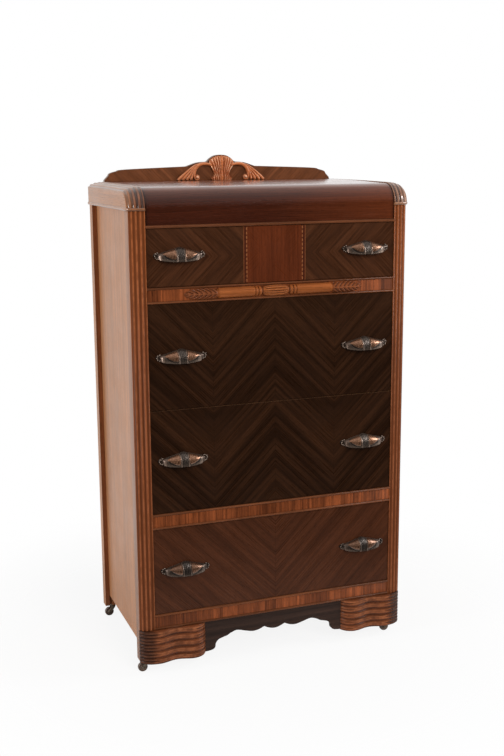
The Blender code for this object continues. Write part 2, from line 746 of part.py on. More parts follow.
def feet():
    path = [Vector(spot) for spot in foot_path()]
    normals = []
    for i in range(len(path)):
        along = path[min(i + 1, len(path) - 1)] - path[max(i - 1, 0)]
        normals.append(Vector((along.y, -along.x)).normalized())
    normals[0] = Vector((-1, 0))
    normals[-1] = Vector((1, 0))
    levels = []
    pitch = FOOT_H / REEDS
    for k in range(REEDS):
        for q in (-1.0, -0.72, 0.0, 0.72):
            levels.append((LEG_Z + pitch * (k + 0.5 + q / 2), REED_DEPTH * (1 - math.sqrt(1 - q * q))))
    levels.append((FOOT_TOP, REED_DEPTH))
    for sign, side in sides():
        rings = []
        for z, sink in levels:
            ring = [spot - normal * sink for spot, normal in zip(path, normals)]
            rings.append([(sign * spot.x, spot.y, z) for spot in ring])
        piece("foot_" + side, loft(rings), CARVED_WOOD)


# Drawers and dust frames

def drawer_table():
    """Name, front low, front high, runner height and headroom limit of each drawer."""
    divider_low = DRAWER_2_Z + LIP - FRAME_T
    return (("drawer_1", DRAWER_1_Z, NOSE_Z, DRAWER_1_Z, NOSE_Z),
            ("drawer_2", DRAWER_2_Z, UPPER_RAIL_Z, DRAWER_2_Z + LIP, UPPER_RAIL_Z),
            ("drawer_3", DRAWER_3_Z, DRAWER_2_Z, DRAWER_3_Z, divider_low),
            ("drawer_4", DRAWER_4_Z, LOWER_RAIL_Z, DRAWER_4_Z, LOWER_RAIL_Z))


def dust_frame(name, runner_z, divider):
    """Runners, guides, cross rails and dust panel, glued up as one frame."""
    half = PANEL_IN - FIT
    low = runner_z - FRAME_T
    inner = OPEN_HALF - RUNNER_W
    front = POST_D + FIT
    rear = REAR_FACE - FIT
    section = [(-half, low), (half, low), (half, runner_z + GUIDE_H), (OPEN_HALF, runner_z + GUIDE_H),
               (OPEN_HALF, runner_z), (-OPEN_HALF, runner_z), (-OPEN_HALF, runner_z + GUIDE_H),
               (-half, runner_z + GUIDE_H)]
    frame = piece(name, extrude(section, "Y", front, rear), BOX_WOOD)
    middle = runner_z - FRAME_T / 2
    well = (front + CROSS_RAIL_W, rear - CROSS_RAIL_W)
    cut(frame, box((-inner, well[0], middle + DUST_T / 2), (inner, well[1], runner_z + FRAME_T)))
    cut(frame, box((-inner, well[0], low - FRAME_T), (inner, well[1], middle - DUST_T / 2)))
    if divider:
        across = OPEN_HALF - FIT
        lead = BOX_FRONT + FIT + RUN
        join(frame, box((-across, lead, low + FIT), (across, front + CROSS_RAIL_W / 2, runner_z - FIT)))


def drawer(name, low, high, runner_z, limit):
    """A drawer front with a box of two sides, a back and a bottom, and two pulls."""
    mark = empty(name + "_slide", (0, FRONT_SINK, (low + high) / 2), ROOT)
    shift = -Vector(mark.location)

    def board(part, mesh, material):
        mesh.transform(Matrix.Translation(shift))
        return piece(name + "_" + part, mesh, material, mark)

    half = OPEN_HALF - FRONT_GAP
    mesh = box((-half, FRONT_SINK, low + FRONT_GAP), (half, BOX_FRONT, high - FRONT_GAP))
    face = board("front", mesh, VENEER)
    edge = face.modifiers.new("edges", "BEVEL")
    edge.width = FRONT_EDGE
    edge.segments = 1

    outer = OPEN_HALF - RUN
    inner = outer - SIDE_T
    base = runner_z + FIT
    top = limit - BOX_HEADROOM
    floor = base + BOTTOM_RISE
    slot = inner + BOTTOM_GROOVE + FIT
    section = [(outer, base), (outer, top), (inner, top), (inner, floor + BOTTOM_T + FIT),
               (slot, floor + BOTTOM_T + FIT), (slot, floor - FIT), (inner, floor - FIT), (inner, base)]
    for sign, side in sides():
        outline = [(sign * x, z) for x, z in section]
        board("side_" + side, extrude(outline, "Y", BOX_FRONT + FIT, BOX_REAR), BOX_WOOD)
    across = inner - FIT
    seat = (-across, BOX_REAR - BOX_BACK_T, floor + BOTTOM_T + FIT)
    board("back", box(seat, (across, BOX_REAR, top - BOX_BACK_DROP)), BOX_WOOD)
    wide = inner + BOTTOM_GROOVE
    board("bottom", box((-wide, BOX_FRONT + FIT, floor), (wide, BOX_REAR, floor + BOTTOM_T)), BOX_WOOD)
    for sign, side in sides():
        place = (sign * PULL_X, FRONT_SINK - FIT, (low + high) / 2 + PULL_RAISE)
        mesh = pull()
        mesh.transform(Matrix.Translation(place))
        board("pull_" + side, mesh, PULL_METAL)


def pull():
    """A hooded pull: a lozenge body between two rosettes, open below for the fingers."""
    form = ((0.00, 1.00, 1.00, 1.00), (0.13, 0.92, 1.00, 1.00), (0.16, 0.80, 0.96, 0.95),
            (0.36, 0.69, 0.90, 0.87), (0.55, 0.56, 0.72, 0.67), (0.70, 0.41, 0.49, 0.42),
            (0.79, 0.27, 0.31, 0.25), (0.87, 0.40, 0.48, 0.27), (0.95, 0.32, 0.38, 0.21),
            (1.00, 0.10, 0.12, 0.13))
    stations = [(-share, top, low, reach) for share, top, low, reach in reversed(form)] + list(form[1:])
    angles = [math.radians(a) for a in (90, 64, 40, 18, 0, -30)]
    lip = math.sin(math.radians(30))
    rings = []
    for share, top, low, reach in stations:
        outer = []
        inner = []
        top_z = PULL_TOP * top
        low_z = PULL_BOTTOM * low / lip
        out = PULL_REACH * reach
        for angle in angles:
            rise = math.sin(angle) * (top_z if angle > 0 else low_z)
            outer.append((-out * math.cos(angle), rise))
            keep = max(0.35, 1 - PULL_T / out)
            inner.append((-out * keep * math.cos(angle), rise - PULL_T * max(0.0, math.sin(angle)) * top))
        ring = outer + inner[::-1]
        rings.append([(share * PULL_L / 2, y, z) for y, z in ring])
    return loft(rings)


# Casters

def caster(name, x, y):
    """A fork with stem, collar and axle, and a wheel that trails to the left at rest."""
    swivel = empty(name + "_swivel", (x, y, 0), ROOT)
    crown = 2 * WHEEL_R + CROWN_GAP
    profile = [(0.0, LEG_Z + STEM_L), (STEM_R, LEG_Z + STEM_L), (STEM_R, LEG_Z - FIT),
               (COLLAR_R, LEG_Z - FIT), (COLLAR_R, crown + CROWN_T), (CROWN_R, crown + CROWN_T),
               (CROWN_R, crown), (0.0, crown)]
    fork = piece(name + "_fork", turned(profile, 12), STEEL, swivel)
    inside = WHEEL_W / 2 + CHEEK_GAP
    boss = 2.6 * AXLE_R
    joint_z = crown + CROWN_T / 2
    cheek = [(-0.55 * CROWN_R, joint_z), (0.80 * CROWN_R, joint_z), (0.62 * CROWN_R, crown)]
    cheek += arc((-TRAIL, WHEEL_R), boss, 0, -225, 7)
    for sign in (-1, 1):
        low, high = sorted((sign * inside, sign * (inside + CHEEK_T)))
        join(fork, extrude(cheek, "Y", low, high))
    join(fork, cylinder((-TRAIL, 0, WHEEL_R), AXLE_R, 2 * inside + CHEEK_T, "Y", 10))
    axle = empty(name + "_axle", (-TRAIL, 0, WHEEL_R), swivel)
    bore = AXLE_R + AXLE_PLAY
    rim = WHEEL_W / 2
    face = [(bore, rim), (0.45 * WHEEL_R, rim), (0.62 * WHEEL_R, 0.72 * rim), (0.84 * WHEEL_R, rim),
            (WHEEL_R, 0.62 * rim)]
    tread = face + [(radius, -across) for radius, across in reversed(face)] + [face[0]]
    mesh = turned(tread, 16)
    mesh.transform(Matrix.Rotation(math.pi / 2, 4, "X"))
    piece(name + "_wheel", mesh, WHEEL_WOOD, axle)


def casters():
    for sign, side in sides():
        caster("caster_front_" + side, sign * (HALF - FRONT_CASTER_IN), FRONT_CASTER_Y)
        caster("caster_rear_" + side, sign * (HALF - REAR_CASTER_IN), DEPTH - REAR_CASTER_Y)


front_posts()
rear_posts()
side_panels()
back_panel()
waterfall_top()
top_caps()
gallery_board()
crest_carving()
top_rail()
beaded_rail("upper_rail", UPPER_RAIL_Z)
beaded_rail("lower_rail", LOWER_RAIL_Z)
beaded_rail("bottom_rail", BOTTOM_RAIL_Z)
rail_turning()
apron()
feet()
for drawer_name, front_low, front_high, runner, headroom in drawer_table():
    dust_frame("dust_frame_" + drawer_name[-1], runner, drawer_name == "drawer_2")
    drawer(drawer_name, front_low, front_high, runner, headroom)
casters()
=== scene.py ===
"""Looks of a tall waterfall dresser: finer carved pieces, fittings, woods, metals, light and camera."""

from math import acos, cos, degrees, hypot, pi, radians, sin, sqrt

import bmesh
import bpy
from mathutils import Matrix, Vector


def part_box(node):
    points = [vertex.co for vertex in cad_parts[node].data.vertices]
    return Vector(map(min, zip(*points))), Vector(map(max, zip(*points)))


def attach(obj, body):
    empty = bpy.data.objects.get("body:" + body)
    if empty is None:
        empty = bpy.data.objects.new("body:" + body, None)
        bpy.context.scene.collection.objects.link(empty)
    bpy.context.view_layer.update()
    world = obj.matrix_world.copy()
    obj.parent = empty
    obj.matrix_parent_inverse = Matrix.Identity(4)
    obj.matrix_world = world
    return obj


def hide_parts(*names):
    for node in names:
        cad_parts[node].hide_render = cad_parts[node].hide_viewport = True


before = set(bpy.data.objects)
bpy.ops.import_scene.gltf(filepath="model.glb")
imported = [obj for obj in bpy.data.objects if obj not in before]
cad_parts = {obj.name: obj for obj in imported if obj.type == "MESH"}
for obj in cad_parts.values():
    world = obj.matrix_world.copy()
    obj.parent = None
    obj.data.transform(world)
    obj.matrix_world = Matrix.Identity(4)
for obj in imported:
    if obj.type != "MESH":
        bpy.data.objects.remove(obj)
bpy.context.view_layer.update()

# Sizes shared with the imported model
top_low, top_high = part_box("waterfall_top")
post_low, post_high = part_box("front_post_right")
panel_low, panel_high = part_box("side_panel_right")
board_low, board_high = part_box("gallery_board")
FIT = 0.0003  # gap at a glued joint
FY = top_low.y  # front plane
OPEN_HALF = top_high.x + FIT  # from the middle to a front post
BETWEEN = OPEN_HALF - FIT  # half length of what stands between the posts
TOP_Z, FALL_Z = top_high.z, top_low.z
DEPTH = top_high.y - FY
HALF = post_high.x
POST_D = post_high.y - FY
POST_W = HALF - OPEN_HALF
LEG_Z = post_low.z
CAP_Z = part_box("top_cap_right")[0].z
CAP_W = POST_W + 0.003  # a cap overhangs its post
GALLERY_FRONT, GALLERY_BACK = board_low.y - FY, board_high.y - FY
PANEL_IN, PANEL_OUT = panel_low.x, panel_high.x
PANEL_GROOVE = 0.008  # in the post, for the side panel
FOOT_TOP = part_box("bottom_rail")[0].z - 2 * FIT
FOOT_BACK = 0.020
TOP_T = 0.020
ROLL_R = 0.054
CORNER_DROP = 0.015
COLLAR_H = 0.008
FLUTES, FLUTE_W, FLUTE_DEPTH = 4, 0.0076, 0.0023
STEM_R = 0.0038  # of a caster's stem
STEM_Z = LEG_Z + 0.028  # upper end of that stem
TRAIL = 0.011  # from a caster's wheel to its stem
SIDES = ((-1, "left"), (1, "right"))
WHITE = (1.0, 1.0, 1.0, 1.0)


# Mesh tools

def middle_of(node):
    """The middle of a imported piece: x, y and z."""
    return [(a + b) / 2 for a, b in zip(*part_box(node))]


def linked(made):
    """An object put in the scene."""
    bpy.context.scene.collection.objects.link(made)
    return made


def finished(name, work):
    """A mesh of what was built in a bmesh."""
    mesh = bpy.data.meshes.new(name)
    work.to_mesh(mesh)
    work.free()
    return mesh


def outward(mesh, weld=0.0):
    """A mesh with its close points joined, if asked, and its faces turned outwards."""
    work = bmesh.new()
    work.from_mesh(mesh)
    if weld:
        bmesh.ops.remove_doubles(work, verts=work.verts, dist=weld)
    bmesh.ops.recalc_face_normals(work, faces=work.faces)
    work.to_mesh(mesh)
    work.free()
    return mesh


def make(name, verts, faces, **marks):
    """A closed mesh with outward faces and named point values."""
    mesh = bpy.data.meshes.new(name)
    mesh.from_pydata([tuple(spot) for spot in verts], [], faces)
    for mark, values in marks.items():
        mesh.attributes.new(mark, "FLOAT", "POINT").data.foreach_set("value", values)
    return outward(mesh)


def quads(count, pairs):
    """Faces between pairs of rings of equal count."""
    return [(a * count + i, a * count + (i + 1) % count, b * count + (i + 1) % count, b * count + i)
            for a, b in pairs for i in range(count)]


def loft(name, rings, **marks):
    """A closed solid through rings of equal count; marks hold one list for each ring."""
    count, last = len(rings[0]), len(rings) - 1
    faces = quads(count, [(r, r + 1) for r in range(last)])
    faces += [tuple(range(count)), tuple(last * count + i for i in range(count))]
    flat = {mark: [v for ring in rows for v in ring] for mark, rows in marks.items()}
    return make(name, [spot for ring in rings for spot in ring], faces, **flat)


def carved(name, rows, *marks):
    """A loft through rows of points, each followed by its values for the marks."""
    rings, *values = ([[spot[k] for spot in row] for row in rows] for k in range(len(marks) + 1))
    return loft(name, rings, **dict(zip(marks, values)))


def lathe(name, profile, steps, place, axis="Z"):
    """A closed turned ring or solid: (radius, height) pairs about an axis through a place."""
    spots = []
    for i in range(steps):
        a = 2 * pi * i / steps
        for r, h in profile:
            x, y = r * cos(a), r * sin(a)
            spots.append(Vector((x, y, h) if axis == "Z" else (x, h, y)) + Vector(place))
    faces = quads(len(profile), [(i, (i + 1) % steps) for i in range(steps)])
    return outward(make(name, spots, faces), weld=0.00001)


def placed(axis, across, up, along):
    """A point from outline coordinates, front plane as y = 0: (y, z) for X, (x, z) for Y and (x, y) for Z."""
    if axis == "X":
        return (along, FY + across, up)
    if axis == "Y":
        return (across, FY + along, up)
    return (across, FY + up, along)


def inset(points, amount):
    """A closed outline moved inwards by an amount."""
    line = [Vector(p) for p in points]
    area = sum(a.x * b.y - b.x * a.y for a, b in zip(line, line[1:] + line[:1]))
    turn = 1 if area > 0 else -1
    moved = []
    for i, spot in enumerate(line):
        before = (spot - line[i - 1]).normalized()
        after = (line[(i + 1) % len(line)] - spot).normalized()
        square = Vector((-after.y, after.x)) * turn
        normal = Vector((-before.y - after.y, before.x + after.x)) * turn
        if normal.length < 1e-9:
            normal = square.copy()
        normal.normalize()
        moved.append(spot + normal * amount / max(0.5, normal.dot(square)))
    return moved


def slab(name, points, axis, low, high, edge=0.0006, **marks):
    """An outline extruded along an axis, with eased edges; marks hold one value for each point."""
    small = inset(points, edge)
    rings = []
    for along, line in ((low, small), (low + edge, points), (high - edge, points), (high, small)):
        rings.append([placed(axis, a, b, along) for a, b in line])
    return loft(name, rings, **{mark: [values] * 4 for mark, values in marks.items()})


def tube(name, path, radius, sides=10, **marks):
    """A round bar along a line of points, with the same marks all over."""
    line = [Vector(p) for p in path]
    last = len(line) - 1
    rings = []
    side = None
    for i, spot in enumerate(line):
        along = (line[min(i + 1, last)] - line[max(i - 1, 0)]).normalized()
        if side is None:
            side = along.orthogonal().normalized()
        side = (side - along * side.dot(along)).normalized()
        other = along.cross(side)
        rings.append([spot + (side * cos(a) + other * sin(a)) * radius
                      for a in (2 * pi * k / sides for k in range(sides))])
    return loft(name, rings, **{mark: [[value] * sides] * len(rings) for mark, value in marks.items()})


def arc(center, radii, start, end, count):
    """Points along an ellipse between two angles in degrees."""
    angles = [radians(start + (end - start) * i / count) for i in range(count + 1)]
    return [(center[0] + radii[0] * cos(a), center[1] + radii[1] * sin(a)) for a in angles]


def smooth(points, steps):
    """A Catmull-Rom line through points."""
    line = [Vector(p) for p in points]
    line = [line[0]] + line + [line[-1]]
    spots = []
    for a, b, c, d in zip(line, line[1:], line[2:], line[3:]):
        for i in range(steps):
            t = i / steps
            spots.append(0.5 * (2 * b + (c - a) * t + (2 * a - 5 * b + 4 * c - d) * t ** 2
                                + (3 * b - a - 3 * c + d) * t ** 3))
    spots.append(line[-1])
    return spots


def normals(path):
    """Unit normals of a plane line, to the right of its run."""
    last = len(path) - 1
    runs = [path[min(i + 1, last)] - path[max(i - 1, 0)] for i in range(last + 1)]
    return [Vector((run.y, -run.x)).normalized() for run in runs]


def mirrored(line):
    """An outline from its right half, which ends on the middle line."""
    return line + [Vector((-p.x, p.y)) for p in reversed(line[:-1])]


def table(rows, t):
    """Values between the rows of a table whose first column rises."""
    for one, two in zip(rows, rows[1:]):
        if t <= two[0]:
            k = (t - one[0]) / (two[0] - one[0])
            return [a + (b - a) * k for a, b in zip(one[1:], two[1:])]
    return list(rows[-1][1:])


def eased(low, high, value):
    """Smooth step."""
    t = min(1.0, max(0.0, (value - low) / (high - low)))
    return t * t * (3 - 2 * t)


def hump(center, width, value):
    """A rounded rise of a given half width."""
    t = abs(value - center) / width
    return cos(pi / 2 * t) if t < 1 else 0.0


def rounded(q):
    """Height of a half circle at a place from -1 to 1."""
    return sqrt(max(0.0, 1 - q * q))


def cut(mesh, tool):
    """A mesh with another cut away."""
    body, knife = (linked(bpy.data.objects.new("cut", data)) for data in (mesh, tool))
    step = body.modifiers.new("cut", "BOOLEAN")
    step.operation, step.solver, step.object = "DIFFERENCE", "EXACT", knife
    result = bpy.data.meshes.new_from_object(body.evaluated_get(bpy.context.evaluated_depsgraph_get()))
    bpy.data.objects.remove(body)
    bpy.data.objects.remove(knife)
    return result


def block(low, high):
    """A plain box, for cutting."""
    work = bmesh.new()
    middle, size = (Vector(low) + Vector(high)) / 2, Vector(high) - Vector(low)
    bmesh.ops.create_cube(work, size=1, matrix=Matrix.Translation(middle) @ Matrix.Diagonal((*size, 1)))
    return finished("block", work)


def rod(work, place, sides, radius, length, taper=1.0):
    """A round or faceted bar along y, narrower at its rear by a taper."""
    bmesh.ops.create_cone(work, cap_ends=True, segments=sides, radius1=radius, radius2=radius * taper, depth=length,
                          matrix=Matrix.Translation(place) @ Matrix.Rotation(-pi / 2, 4, "X"))


def dome(work, place, radius, flat, around, rows):
    """A round head, flattened along y."""
    bmesh.ops.create_uvsphere(work, u_segments=around, v_segments=rows, radius=radius,
                              matrix=Matrix.Translation(place) @ Matrix.Diagonal((1, flat, 1, 1)))


def piece(name, mesh, look, slot, *nodes, body="carcass", sharp=40, place=(0, 0, 0)):
    """A finished piece on its body."""
    made = linked(bpy.data.objects.new(name, mesh))
    made.location = place
    mesh.materials.clear()
    mesh.materials.append(look)
    mesh.shade_smooth()
    mesh.set_sharp_from_angle(angle=radians(sharp))
    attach(made, body)
    if nodes:
        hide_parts(*nodes)


# Materials

class Nodes:
    """A tree of shader nodes under construction."""

    def __init__(self, tree):
        self.tree = tree

    def add(self, kind, **settings):
        node = self.tree.nodes.new("ShaderNode" + kind)
        for key, value in settings.items():
            setattr(node, key, value)
        return node

    def give(self, socket, value):
        if isinstance(value, bpy.types.NodeSocket):
            self.tree.links.new(value, socket)
        else:
            socket.default_value = value

    def put(self, node, **values):
        for key, value in values.items():
            self.give(node.inputs[key.replace("_", " ")], value)

    def fill(self, kind, values, **settings):
        node = self.add(kind, **settings)
        for socket, value in zip(node.inputs, values):
            self.give(socket, value)
        return node.outputs[0]

    def math(self, operation, *values):
        return self.fill("Math", values, operation=operation)

    def plus(self, one, two):
        return self.math("ADD", one, two)

    def minus(self, one, two):
        return self.math("SUBTRACT", one, two)

    def times(self, one, two):
        return self.math("MULTIPLY", one, two)

    def most(self, one, two):
        return self.math("MAXIMUM", one, two)

    def absolute(self, value):
        return self.math("ABSOLUTE", value)

    def vector(self, operation, *values):
        return self.fill("VectorMath", values, operation=operation)

    def join(self, *values):
        return self.fill("CombineXYZ", values)

    def split(self, value):
        node = self.add("SeparateXYZ")
        self.give(node.inputs[0], value)
        return node.outputs

    def span(self, value, low, high, start=0.0, end=1.0, kind="SMOOTHSTEP"):
        return self.fill("MapRange", (value, low, high, start, end), interpolation_type=kind)

    def ramp(self, *values):
        return self.span(*values, kind="LINEAR")


class Look(Nodes):
    """A procedural material under construction."""

    def __init__(self, name):
        self.material = bpy.data.materials.new(name)
        self.material.use_nodes = True
        super().__init__(self.material.node_tree)
        self.shader = self.tree.nodes["Principled BSDF"]
        spots = self.add("TexCoord")
        self.place = spots.outputs["Object"]
        self.normal = spots.outputs["Normal"]

    def noise(self, vector, scale, detail=2.0, rough=0.55, output=0):
        node = self.add("TexNoise")
        scales = scale if isinstance(scale, tuple) else (scale, scale, scale)
        self.put(node, Vector=self.vector("MULTIPLY", vector, scales), Scale=1.0, Detail=detail, Roughness=rough)
        return node.outputs[output]

    def mix(self, one, two, factor, blend="MIX"):
        node = self.add("Mix", data_type="RGBA", blend_type=blend)
        self.give(node.inputs[0], factor)
        for socket, value in ((node.inputs[6], one), (node.inputs[7], two)):
            self.give(socket, value if isinstance(value, bpy.types.NodeSocket) else (*value, 1.0))
        return node.outputs[2]

    def shade(self, color, level):
        return self.mix(color, self.join(level, level, level), 1.0, "MULTIPLY")

    def mark(self, name):
        return self.add("Attribute", attribute_name=name).outputs["Fac"]

    def bump(self, height, strength, distance):
        node = self.add("Bump")
        self.put(node, Strength=strength, Distance=distance, Height=height)
        self.set(Normal=node.outputs[0])

    def set(self, **values):
        self.put(self.shader, **values)


def straight(look, axis):
    """Grain along one axis."""
    parts = look.split(look.place)
    return look.join(*(parts[i] for i in {"X": (1, 2, 0), "Y": (0, 2, 1), "Z": (0, 1, 2)}[axis]))


def figure(look, vector, streak, warp):
    """Broad streaks, fine fibres and pores along the third axis."""
    sway = look.vector("SUBTRACT", look.noise(vector, (7.0, 7.0, 1.6), 1.0, 0.5, output=1), (0.5, 0.5, 0.5))
    moved = look.vector("ADD", vector, look.vector("MULTIPLY", sway, (warp, warp, 0.0)))
    broad = look.noise(moved, (streak, streak, 0.02 * streak), 3.0, 0.6)
    fibre = look.noise(moved, (640.0, 640.0, 9.0), 2.0, 0.6)
    pores = look.span(look.noise(moved, (1500.0, 1500.0, 55.0), 0.0), 0.60, 0.74)
    return broad, fibre, pores


def wood_color(look, vector, tone, spread=0.35, streak=95.0, warp=0.012, patch=0.20, contrast=0.5):
    """A wood tone, its height for bump and its fibres."""
    broad, fibre, pores = figure(look, vector, streak, warp)
    dark, light = (tuple(c * (1 + k * spread) for c in tone) for k in (-1, 1))
    color = look.mix(dark, light, look.span(broad, 0.5 - 0.5 * contrast, 0.5 + 0.5 * contrast))
    color = look.shade(color, look.ramp(fibre, 0.28, 0.72, 0.76, 1.24))
    cloud = look.noise(vector, (9.0, 9.0, 2.5))
    color = look.shade(color, look.ramp(cloud, 0.3, 0.7, 1.0 - patch, 1.0 + patch))
    color = look.mix(color, tuple(0.35 * c for c in dark), look.times(pores, 0.5))
    return color, look.minus(fibre, look.times(pores, 0.8)), fibre


def varnish(look, tone, height, fibre, rough, coat, coat_rough=0.16, bump=0.05, gloss=0.5, coat_ior=1.5):
    """A varnished finish over a wood tone."""
    smear = look.noise(look.place, 14.0, 3.0)
    level = look.plus(look.ramp(fibre, 0.3, 0.7, rough - 0.05, rough + 0.07),
                      look.ramp(smear, 0.35, 0.75, -0.04, 0.07))
    look.set(Base_Color=tone, Roughness=level, Specular_IOR_Level=gloss,
             Coat_Weight=coat, Coat_Roughness=coat_rough, Coat_IOR=coat_ior)
    look.bump(height, bump, 0.0004)
    return look.material


def wood(name, tone, axis, rough=0.32, coat=0.0, groove=None, ridge=None, plain=None, plain_coat=None, darkening=None,
         graded=None, tint=None, coat_rough=0.16, bump=0.05, gloss=0.5, coat_ior=1.5, **grain):
    """A varnished wood. The piece's own marks say where the groove, ridge, plain and darker colours tint it:
    the groove colour is painted shade in hollows, the ridge colour a painted highlight on crests,
    and the plain colour a painted pale sheen on the side faces, tops and beads it marks.

    The colour graded along an axis and the tint each hold a colour, an axis, and the places along it where they start
    and are full.
    """
    look = Look(name)

    def colored(shade):
        return wood_color(look, straight(look, axis), shade, **grain)

    def along(way, none, full):
        return look.span(look.split(look.place)[way], none, full)

    color, height, fibre = colored(tone)
    if graded:
        color = look.mix(color, colored(graded[0])[0], along(*graded[1:]))
    if groove:
        # painted shade in the hollows
        relief = look.mark("relief")
        color = look.mix(groove, color, look.span(relief, 0.05, 0.75))
        if ridge:
            # random strength of the painted highlight on the ridges
            sheen_share = look.span(look.noise(look.place, 60.0), 0.35, 0.65, 0.25, 0.85)
            color = look.mix(color, ridge, look.times(look.span(relief, 0.80, 1.0), sheen_share))
    if plain:
        # painted pale sheen where the plain mark says
        share = look.mark("plain")
        color = look.mix(color, colored(plain)[0], share)
        if plain_coat is not None:
            coat = look.span(share, 0.0, 1.0, coat, plain_coat)
    if darkening:
        # a darker colour multiplied in where the piece marks it; on the top's ends and the feet this is painted shade
        color = look.mix(color, darkening, look.mark("darkening"), "MULTIPLY")
    if tint:
        color = look.mix(color, tint[0], along(*tint[1:]), "MULTIPLY")
    return varnish(look, color, height, fibre, rough, coat, coat_rough, bump, gloss, coat_ior)


def fold(look, layout, middle=0.0):
    """Grain of matched veneers (across, depth, along), and the distance from their seam."""
    x, y, z = look.split(look.place)
    one, two = z, look.absolute(x)
    side = two
    if layout == "double":
        side = two = look.math("PINGPONG", side, OPEN_HALF / 2)
    elif layout == "sideways":
        one, two = side, look.absolute(look.minus(z, middle))
    across, along = look.minus(one, two), look.plus(one, two)
    if layout == "double":
        across, along = along, across
    turn = sqrt(0.5)
    return look.join(look.times(across, turn), y, look.times(along, turn)), side


def seam(look, value, width=0.0005):
    """1 on the line where a value is near 0."""
    return look.span(look.absolute(value), width * 0.4, width, 1.0, 0.0)


def fronted(look, color, height, fibre, gloss):
    """A colour on the front face, plain wood on the edges and the rear."""
    plain = wood_color(look, straight(look, "X"), (0.15, 0.068, 0.030))[0]
    facing = look.span(look.split(look.normal)[1], -0.75, -0.35, 1.0, 0.0)
    return varnish(look, look.mix(plain, color, facing), height, fibre, 0.30, 0.0, gloss=gloss)


def veneer(name, layout, tone, gloss=0.2, **grain):
    """Matched veneer on the front face."""
    look = Look(name)
    vector, side = fold(look, layout)
    color, height, fibre = wood_color(look, vector, tone, **grain)
    line = seam(look, side)
    if layout == "double":
        line = look.most(line, seam(look, look.minus(side, OPEN_HALF / 2)))
    color = look.mix(color, tuple(0.35 * c for c in tone), look.times(line, 0.6))
    return fronted(look, color, height, fibre, gloss)


def top_drawer_look():
    """Side panels of sideways chevrons, a red middle panel and two inlay strips of dashes beside a fine line."""
    look = Look("veneer_top_drawer")
    vector, side = fold(look, "sideways", middle_of("drawer_1_front")[2])
    color, height, fibre = wood_color(look, vector, (0.046, 0.0155, 0.0060), 0.36, streak=75.0, contrast=0.45)
    red = wood_color(look, straight(look, "Z"), (0.092, 0.0195, 0.0058), 0.20)[0]
    dashes, line, pitch, soft = 0.0772, 0.0855, 0.0110, 0.0003

    def column(center, half):
        return look.span(look.absolute(look.minus(side, center)), half, half + soft, 1.0, 0.0)

    beat = look.math("PINGPONG", look.split(look.place)[2], pitch / 2)
    strip = column((dashes + line) / 2, (line - dashes) / 2)
    dash = look.times(column(dashes, 0.0010), look.span(beat, 0.30 * pitch, 0.34 * pitch, 1.0, 0.0))
    gap = look.times(column(dashes + 0.0040, 0.0008), look.span(beat, 0.16 * pitch, 0.20 * pitch))
    color = look.mix(red, color, look.span(side, line, line + soft))
    color = look.mix(color, (0.060, 0.0140, 0.0055), look.times(strip, 0.8))
    color = look.mix(color, (0.24, 0.085, 0.031), dash)
    color = look.mix(color, (0.020, 0.008, 0.005), look.times(gap, 0.7))
    color = look.mix(color, (0.150, 0.048, 0.017), column(line, 0.0006))
    return fronted(look, color, height, fibre, 0.12)


def crossband():
    """Upright grain in short lengths, with plain beads along the edges."""
    look = Look("crossband_wood")
    x, y, z = look.split(look.place)
    cell = look.math("FLOOR", look.times(x, 13.0))
    vector = look.join(look.plus(x, look.times(cell, 0.37)), y, z)
    color, height, fibre = wood_color(look, vector, (0.146, 0.0370, 0.0108), 0.50, streak=150.0, warp=0.004,
                                      patch=0.62, contrast=0.55)
    # painted light: darker at the left end, brighter at the right
    color = look.shade(color, look.ramp(x, -OPEN_HALF, OPEN_HALF, 0.82, 1.22))
    bead = wood_color(look, straight(look, "X"), (0.125, 0.040, 0.0150))[0]
    color = look.mix(color, bead, look.span(look.mark("relief"), 0.3, 0.6))
    return varnish(look, color, height, fibre, 0.30, 0.0, gloss=0.15)


def rear_post_look():
    """A pale sheen painted on the sides, deeper red on the narrow faces between."""
    look = Look("rear_post_wood")
    side = look.span(look.absolute(look.split(look.normal)[0]), 0.4, 0.8)
    color, height, fibre = wood_color(look, straight(look, "Z"), (0.21, 0.065, 0.022), 0.2, streak=170.0)
    face = wood_color(look, straight(look, "Z"), (0.36, 0.150, 0.057), 0.16, streak=60.0)[0]
    coat = look.span(side, 0.0, 1.0, 0.0, 0.3)
    return varnish(look, look.mix(color, face, side), height, fibre, 0.45, coat, 0.30, gloss=0.15)


def pull_look(name, shade_level):
    """Aged cast metal with coppered panels, dark in its hollows from tarnish and painted shade, pale on its rims from
    painted highlight; a lower level darkens all of it, a painted shade.
    """
    look = Look(name)
    cloud = look.noise(look.place, 240.0, 3.0)
    # relief: tarnish and painted shade in the hollows, painted highlight on rims and bead fronts
    pewter = look.mix((0.022, 0.0170, 0.0145), (0.280, 0.200, 0.152), look.span(look.mark("relief"), 0.1, 1.0))
    warm = look.mix((0.20, 0.086, 0.041), (0.41, 0.205, 0.118), look.span(cloud, 0.3, 0.7))
    tone = look.mix(pewter, warm, look.mark("copper"))
    tone = look.mix(tone, (0.045, 0.033, 0.026), look.span(cloud, 0.62, 0.84, 0.0, 0.40))
    # a darker copy for the lowest pulls: painted shade
    tone = look.mix(tone, (shade_level, shade_level, shade_level), 1.0, "MULTIPLY")
    look.set(Base_Color=tone, Metallic=0.80, Roughness=look.ramp(cloud, 0.3, 0.75, 0.22, 0.38),
             Coat_Weight=0.5, Coat_Roughness=0.20)
    look.bump(look.noise(look.place, 900.0), 0.06, 0.0003)
    return look.material


def metal(name, color, dirt_and_shade, rough):
    """Dull worn metal."""
    look = Look(name)
    cloud = look.noise(look.place, 160.0, 4.0)
    look.set(Base_Color=look.mix(color, dirt_and_shade, look.span(cloud, 0.42, 0.70)), Metallic=0.85,
             Roughness=look.ramp(cloud, 0.3, 0.7, rough - 0.08, rough + 0.15))
    look.bump(look.noise(look.place, 1200.0), 0.15, 0.0003)
    return look.material
